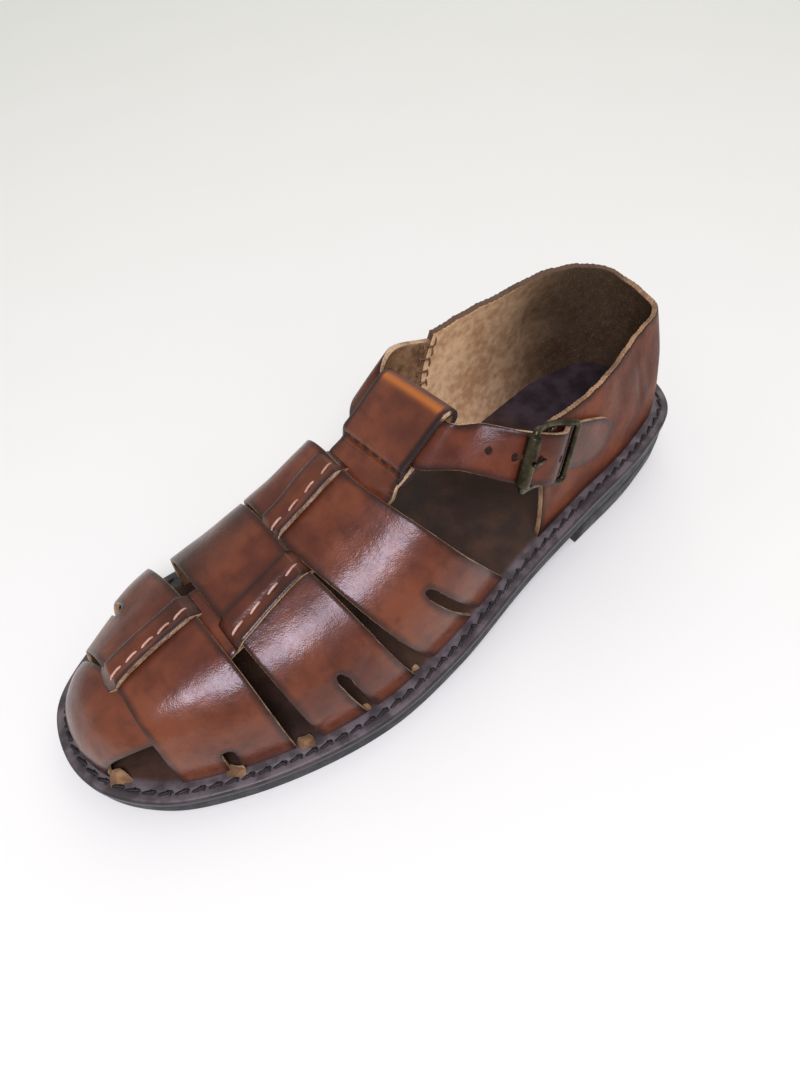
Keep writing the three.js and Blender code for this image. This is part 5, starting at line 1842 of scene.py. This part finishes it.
@dataclass(frozen=True)
class CutEdge:
    """Raw cut edge of the leather."""

    name: str
    light: str
    dark: str
    # Colour of painted shade on the inner side of the edge, if any
    inner: str = ""
    # Dark colour that the tone attribute mixes in: painted shade and soiling, as on the grain side
    soil_and_shade: str = "2E1D16"

    def make(self) -> bpy.types.Material:
        """Returns: the material."""
        f = Finish(self.name)
        fibre, patch = f.noise(0.8, 3), f.noise(8, 3)
        tint = f.blend(f.ramp(f.sum((fibre, 0.4), (patch, 0.6)), 0.38, 0.6), self.dark, self.light)
        # High tone mixes in the dark colour: painted shade and soiling carried over from the grain side
        tint = f.blend(f.ramp(f.attribute("tone"), 0.55, 1), tint, self.soil_and_shade)
        # Painted shade: the edge darkens towards the inner side
        if self.inner:
            side = f.ramp(f.axis(1), -0.02, -0.004, 0.85, 0)
            tint = f.blend(side, tint, self.inner)
        height = f.sum((fibre, 0.8), (f.noise(0.35), 0.4))
        return f.finish(tint, f.ramp(patch, 0.3, 0.7, 0.6, 0.8), height, 0.8)


@dataclass(frozen=True)
class BoardLeather:
    """Insole leather, worn dull inside and waxed dark along the stitched ledge."""

    inside: tuple[str, str] = ("2C1E15", "4A3324")
    seat: tuple[str, str] = ("2A2226", "3C3236")
    ledge: tuple[str, str] = ("453F3F", "696061")
    rim: str = "26201F"

    def make(self) -> bpy.types.Material:
        """Returns: the material."""
        f = Finish("insole_board_leather")
        cloud, patch = f.noise(40, 3), f.noise(7, 4)
        tint = f.blend(f.ramp(f.sum((cloud, 0.6), (patch, 0.4)), 0.36, 0.64), *self.inside)
        seat = f.ramp(f.axis(0), -0.09, -0.055, 1, 0)
        tint = f.blend(seat, tint, f.blend(f.ramp(patch, 0.35, 0.65), *self.seat))
        ledge = f.ramp(f.sum((f.attribute("edge"), 1.0), (patch, 2.0)), 7.5, 10.5, 1, 0)
        tint = f.blend(ledge, tint, f.blend(f.ramp(patch, 0.4, 0.65), *self.ledge))
        tint = f.blend(f.ramp(f.attribute("edge"), 0.2, 1.2, 0.7, 0), tint, self.rim)
        height = f.sum((f.cells(0.8), 0.06), (f.noise(2.0), 0.16), (f.noise(9), 0.4))
        rough = f.sum((f.ramp(patch, 0.3, 0.7, 0.5, 0.66), 1.0), (ledge, -0.18))
        return f.finish(tint, rough, height, 0.5, Coat_Weight=0.05, Coat_Roughness=0.3,
                        Specular_IOR_Level=0.3)


@dataclass(frozen=True)
class Rubber:
    """Black sole rubber with moulded grain and road dust."""

    black: str = "1D2023"
    dust: str = "4B4844"

    def make(self) -> bpy.types.Material:
        """Returns: the material."""
        f = Finish("sole_rubber_black")
        dust = f.ramp(f.sum((f.noise(12, 4), 0.5), (f.noise(2, 4), 0.5)), 0.5, 0.68, 0, 0.3)
        tint = f.blend(dust, self.black, self.dust)
        height = f.sum((f.noise(0.6), 0.16), (f.noise(4), 0.12))
        return f.finish(tint, f.ramp(f.noise(5), 0.3, 0.7, 0.5, 0.7), height, 0.5)


@dataclass(frozen=True)
class AgedBrass:
    """Antique brass with patches of dark patina."""

    bare: str = "5A523E"
    patina: str = "2B2A22"

    def make(self) -> bpy.types.Material:
        """Returns: the material."""
        f = Finish("buckle_aged_brass")
        patina = f.sum((f.noise(6, 3), 0.7), (f.noise(1.2, 3), 0.3))
        tint = f.blend(f.ramp(patina, 0.36, 0.64), self.bare, self.patina)
        rough = f.ramp(patina, 0.35, 0.65, 0.26, 0.5)
        return f.finish(tint, rough, f.sum((f.noise(1.5), 0.03)), 0.3, Metallic=1.0)


@dataclass(frozen=True)
class Thread:
    """Twisted waxed thread."""

    name: str
    light: str
    dark: str

    def make(self) -> bpy.types.Material:
        """Returns: the material."""
        f = Finish(self.name)
        twist, soil = f.noise(0.45, 2, (1, 1, 0.4)), f.noise(5, 3)
        tint = f.blend(f.ramp(f.sum((twist, 0.5), (soil, 0.5)), 0.35, 0.65), self.dark, self.light)
        return f.finish(tint, f.ramp(soil, 0.3, 0.7, 0.5, 0.7), f.sum((twist, 0.25)), 0.6)


@dataclass(frozen=True)
class Lamp:
    """A square lamp that faces the middle of the floor."""

    name: str
    place: tuple[float, float, float]
    size: float
    power: float
    tint: str

    def hang(self) -> None:
        """Puts the lamp into the scene."""
        lamp = bpy.data.lights.new(self.name, "AREA")
        lamp.size, lamp.energy, lamp.color = self.size, self.power, colour(self.tint)[:3]
        holder = bpy.data.objects.new(self.name, lamp)
        holder.location = self.place
        holder.rotation_euler = Vector(self.place).to_track_quat("Z", "Y").to_euler()
        bpy.context.scene.collection.objects.link(holder)


@dataclass(frozen=True)
class Studio:
    """Camera, paper floor and soft light, in metres."""

    floor_half: float = 4.0
    paper: tuple[str, str] = ("F8FBEF", "FBFDF2")
    daylight: float = 0.47
    lens: float = 25.723
    sensor: float = 36.0
    near: float = 0.01
    viewpoint: tuple[float, float, float] = (0.09911, 0.14563, 0.27570)
    right: tuple[float, float, float] = (-0.78041, 0.62348, -0.04726)
    down: tuple[float, float, float] = (0.53127, 0.62134, -0.57593)
    ahead: tuple[float, float, float] = (-0.32972, -0.47457, -0.81613)
    lamps: tuple[Lamp, ...] = (
        Lamp("key", (0.36, 0.5, 1.02), 0.44, 10.0, "F0E8FF"),
        Lamp("fill", (-0.7, -0.6, 1.0), 1.0, 2.2, "FFFAF4"),
    )

    def build(self) -> None:
        """Sets the floor, the light and the camera."""
        self.floor()
        self.light()
        self.camera()

    def floor(self) -> None:
        """Lays the paper floor."""
        half = self.floor_half
        mesh = bpy.data.meshes.new("floor")
        corner_list = [(-half, -half, 0), (half, -half, 0), (half, half, 0), (-half, half, 0)]
        mesh.from_pydata(corner_list, [], [(0, 1, 2, 3)])
        sheet = bpy.data.objects.new("floor", mesh)
        bpy.context.scene.collection.objects.link(sheet)
        paint = Finish("floor_paper")
        speck = paint.noise(60)
        tint = paint.blend(speck, *self.paper)
        mesh.materials.append(paint.finish(tint, paint.ramp(speck, 0, 1, 0.8, 0.9), speck, 0.01))
        sheet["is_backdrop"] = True

    def light(self) -> None:
        """Sets the even daylight and the lamps."""
        world = bpy.data.worlds.new("studio")
        world.use_nodes = True
        background = world.node_tree.nodes["Background"]
        background.inputs["Color"].default_value = colour("FFFFFF")
        background.inputs["Strength"].default_value = self.daylight
        bpy.context.scene.world = world
        for lamp in self.lamps:
            lamp.hang()

    def camera(self) -> None:
        """Sets the camera where the photograph was taken from."""
        scene = bpy.context.scene
        camera = bpy.data.cameras.new("camera")
        camera.lens, camera.sensor_width, camera.sensor_fit = self.lens, self.sensor, "AUTO"
        camera.clip_start = self.near
        viewer = bpy.data.objects.new("camera", camera)
        turn = Matrix((self.right, -Vector(self.down), -Vector(self.ahead))).transposed().to_4x4()
        viewer.matrix_world = Matrix.Translation(self.viewpoint) @ turn
        scene.collection.objects.link(viewer)
        scene.camera = viewer
        scene.view_settings.view_transform = "Standard"


def corners() -> list[list[float]]:
    """Returns: lowest and highest corner of what is shown, as plain numbers."""
    return [[float(c) for c in corner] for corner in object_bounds()]


def main() -> None:
    """Builds the dressed sandal and its studio."""
    logging.basicConfig(level=logging.INFO, format="%(name)s: %(message)s")
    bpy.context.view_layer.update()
    flesh = Suede("strap_flesh", "A5805C", "604832").make()
    cut = CutEdge("strap_cut_edge", "CDAE88", "8C6A4A").make()
    cage_leather = GrainLeather("cage_cognac_leather", "773F25", "552717", "2A110A").make()
    ankle_leather = GrainLeather("ankle_cognac_leather", "6C3722", "4C2416", "2A110A", 0.36, 0.24, 0.1).make()
    wrap_leather = GrainLeather("heel_cognac_leather", "7C4024", "562816", "30160C", 0.42, 0.14, 0.03).make()
    # The last colour is painted shade deep inside the heel cup
    lining = Suede("heel_suede_inside", "F6CFA0", "C69A6E", "160F08").make()
    brass = AgedBrass().make()
    pale = Thread("rib_thread", "DDB8A2", "AA806A").make()
    black = Thread("welt_thread", "26211F", "121011").make()
    sole = Sole()
    sole.rubber(Rubber().make())
    sole.board(BoardLeather().make())
    cage = Cage([cage_leather, flesh, cut])
    cage.build()
    # The last colour is painted shade on the inner side of the collar's edge
    collar = CutEdge("collar_cut_edge", "B8946C", "7A5C40", "4E3626").make()
    WRAP.build([wrap_leather, lining, collar])
    buckle = Buckle()
    buckle.build(brass, [ankle_leather, flesh, cut])
    ankle = AnkleStrap(buckle)
    ankle.build([ankle_leather, flesh, cut])
    ankle.ladder(Thread("ladder_thread", "8C6846", "5E4430").make())
    sole.welt(black)
    cage.sew(pale, black)
    Studio().build()


if __name__ == "__main__":
    main()
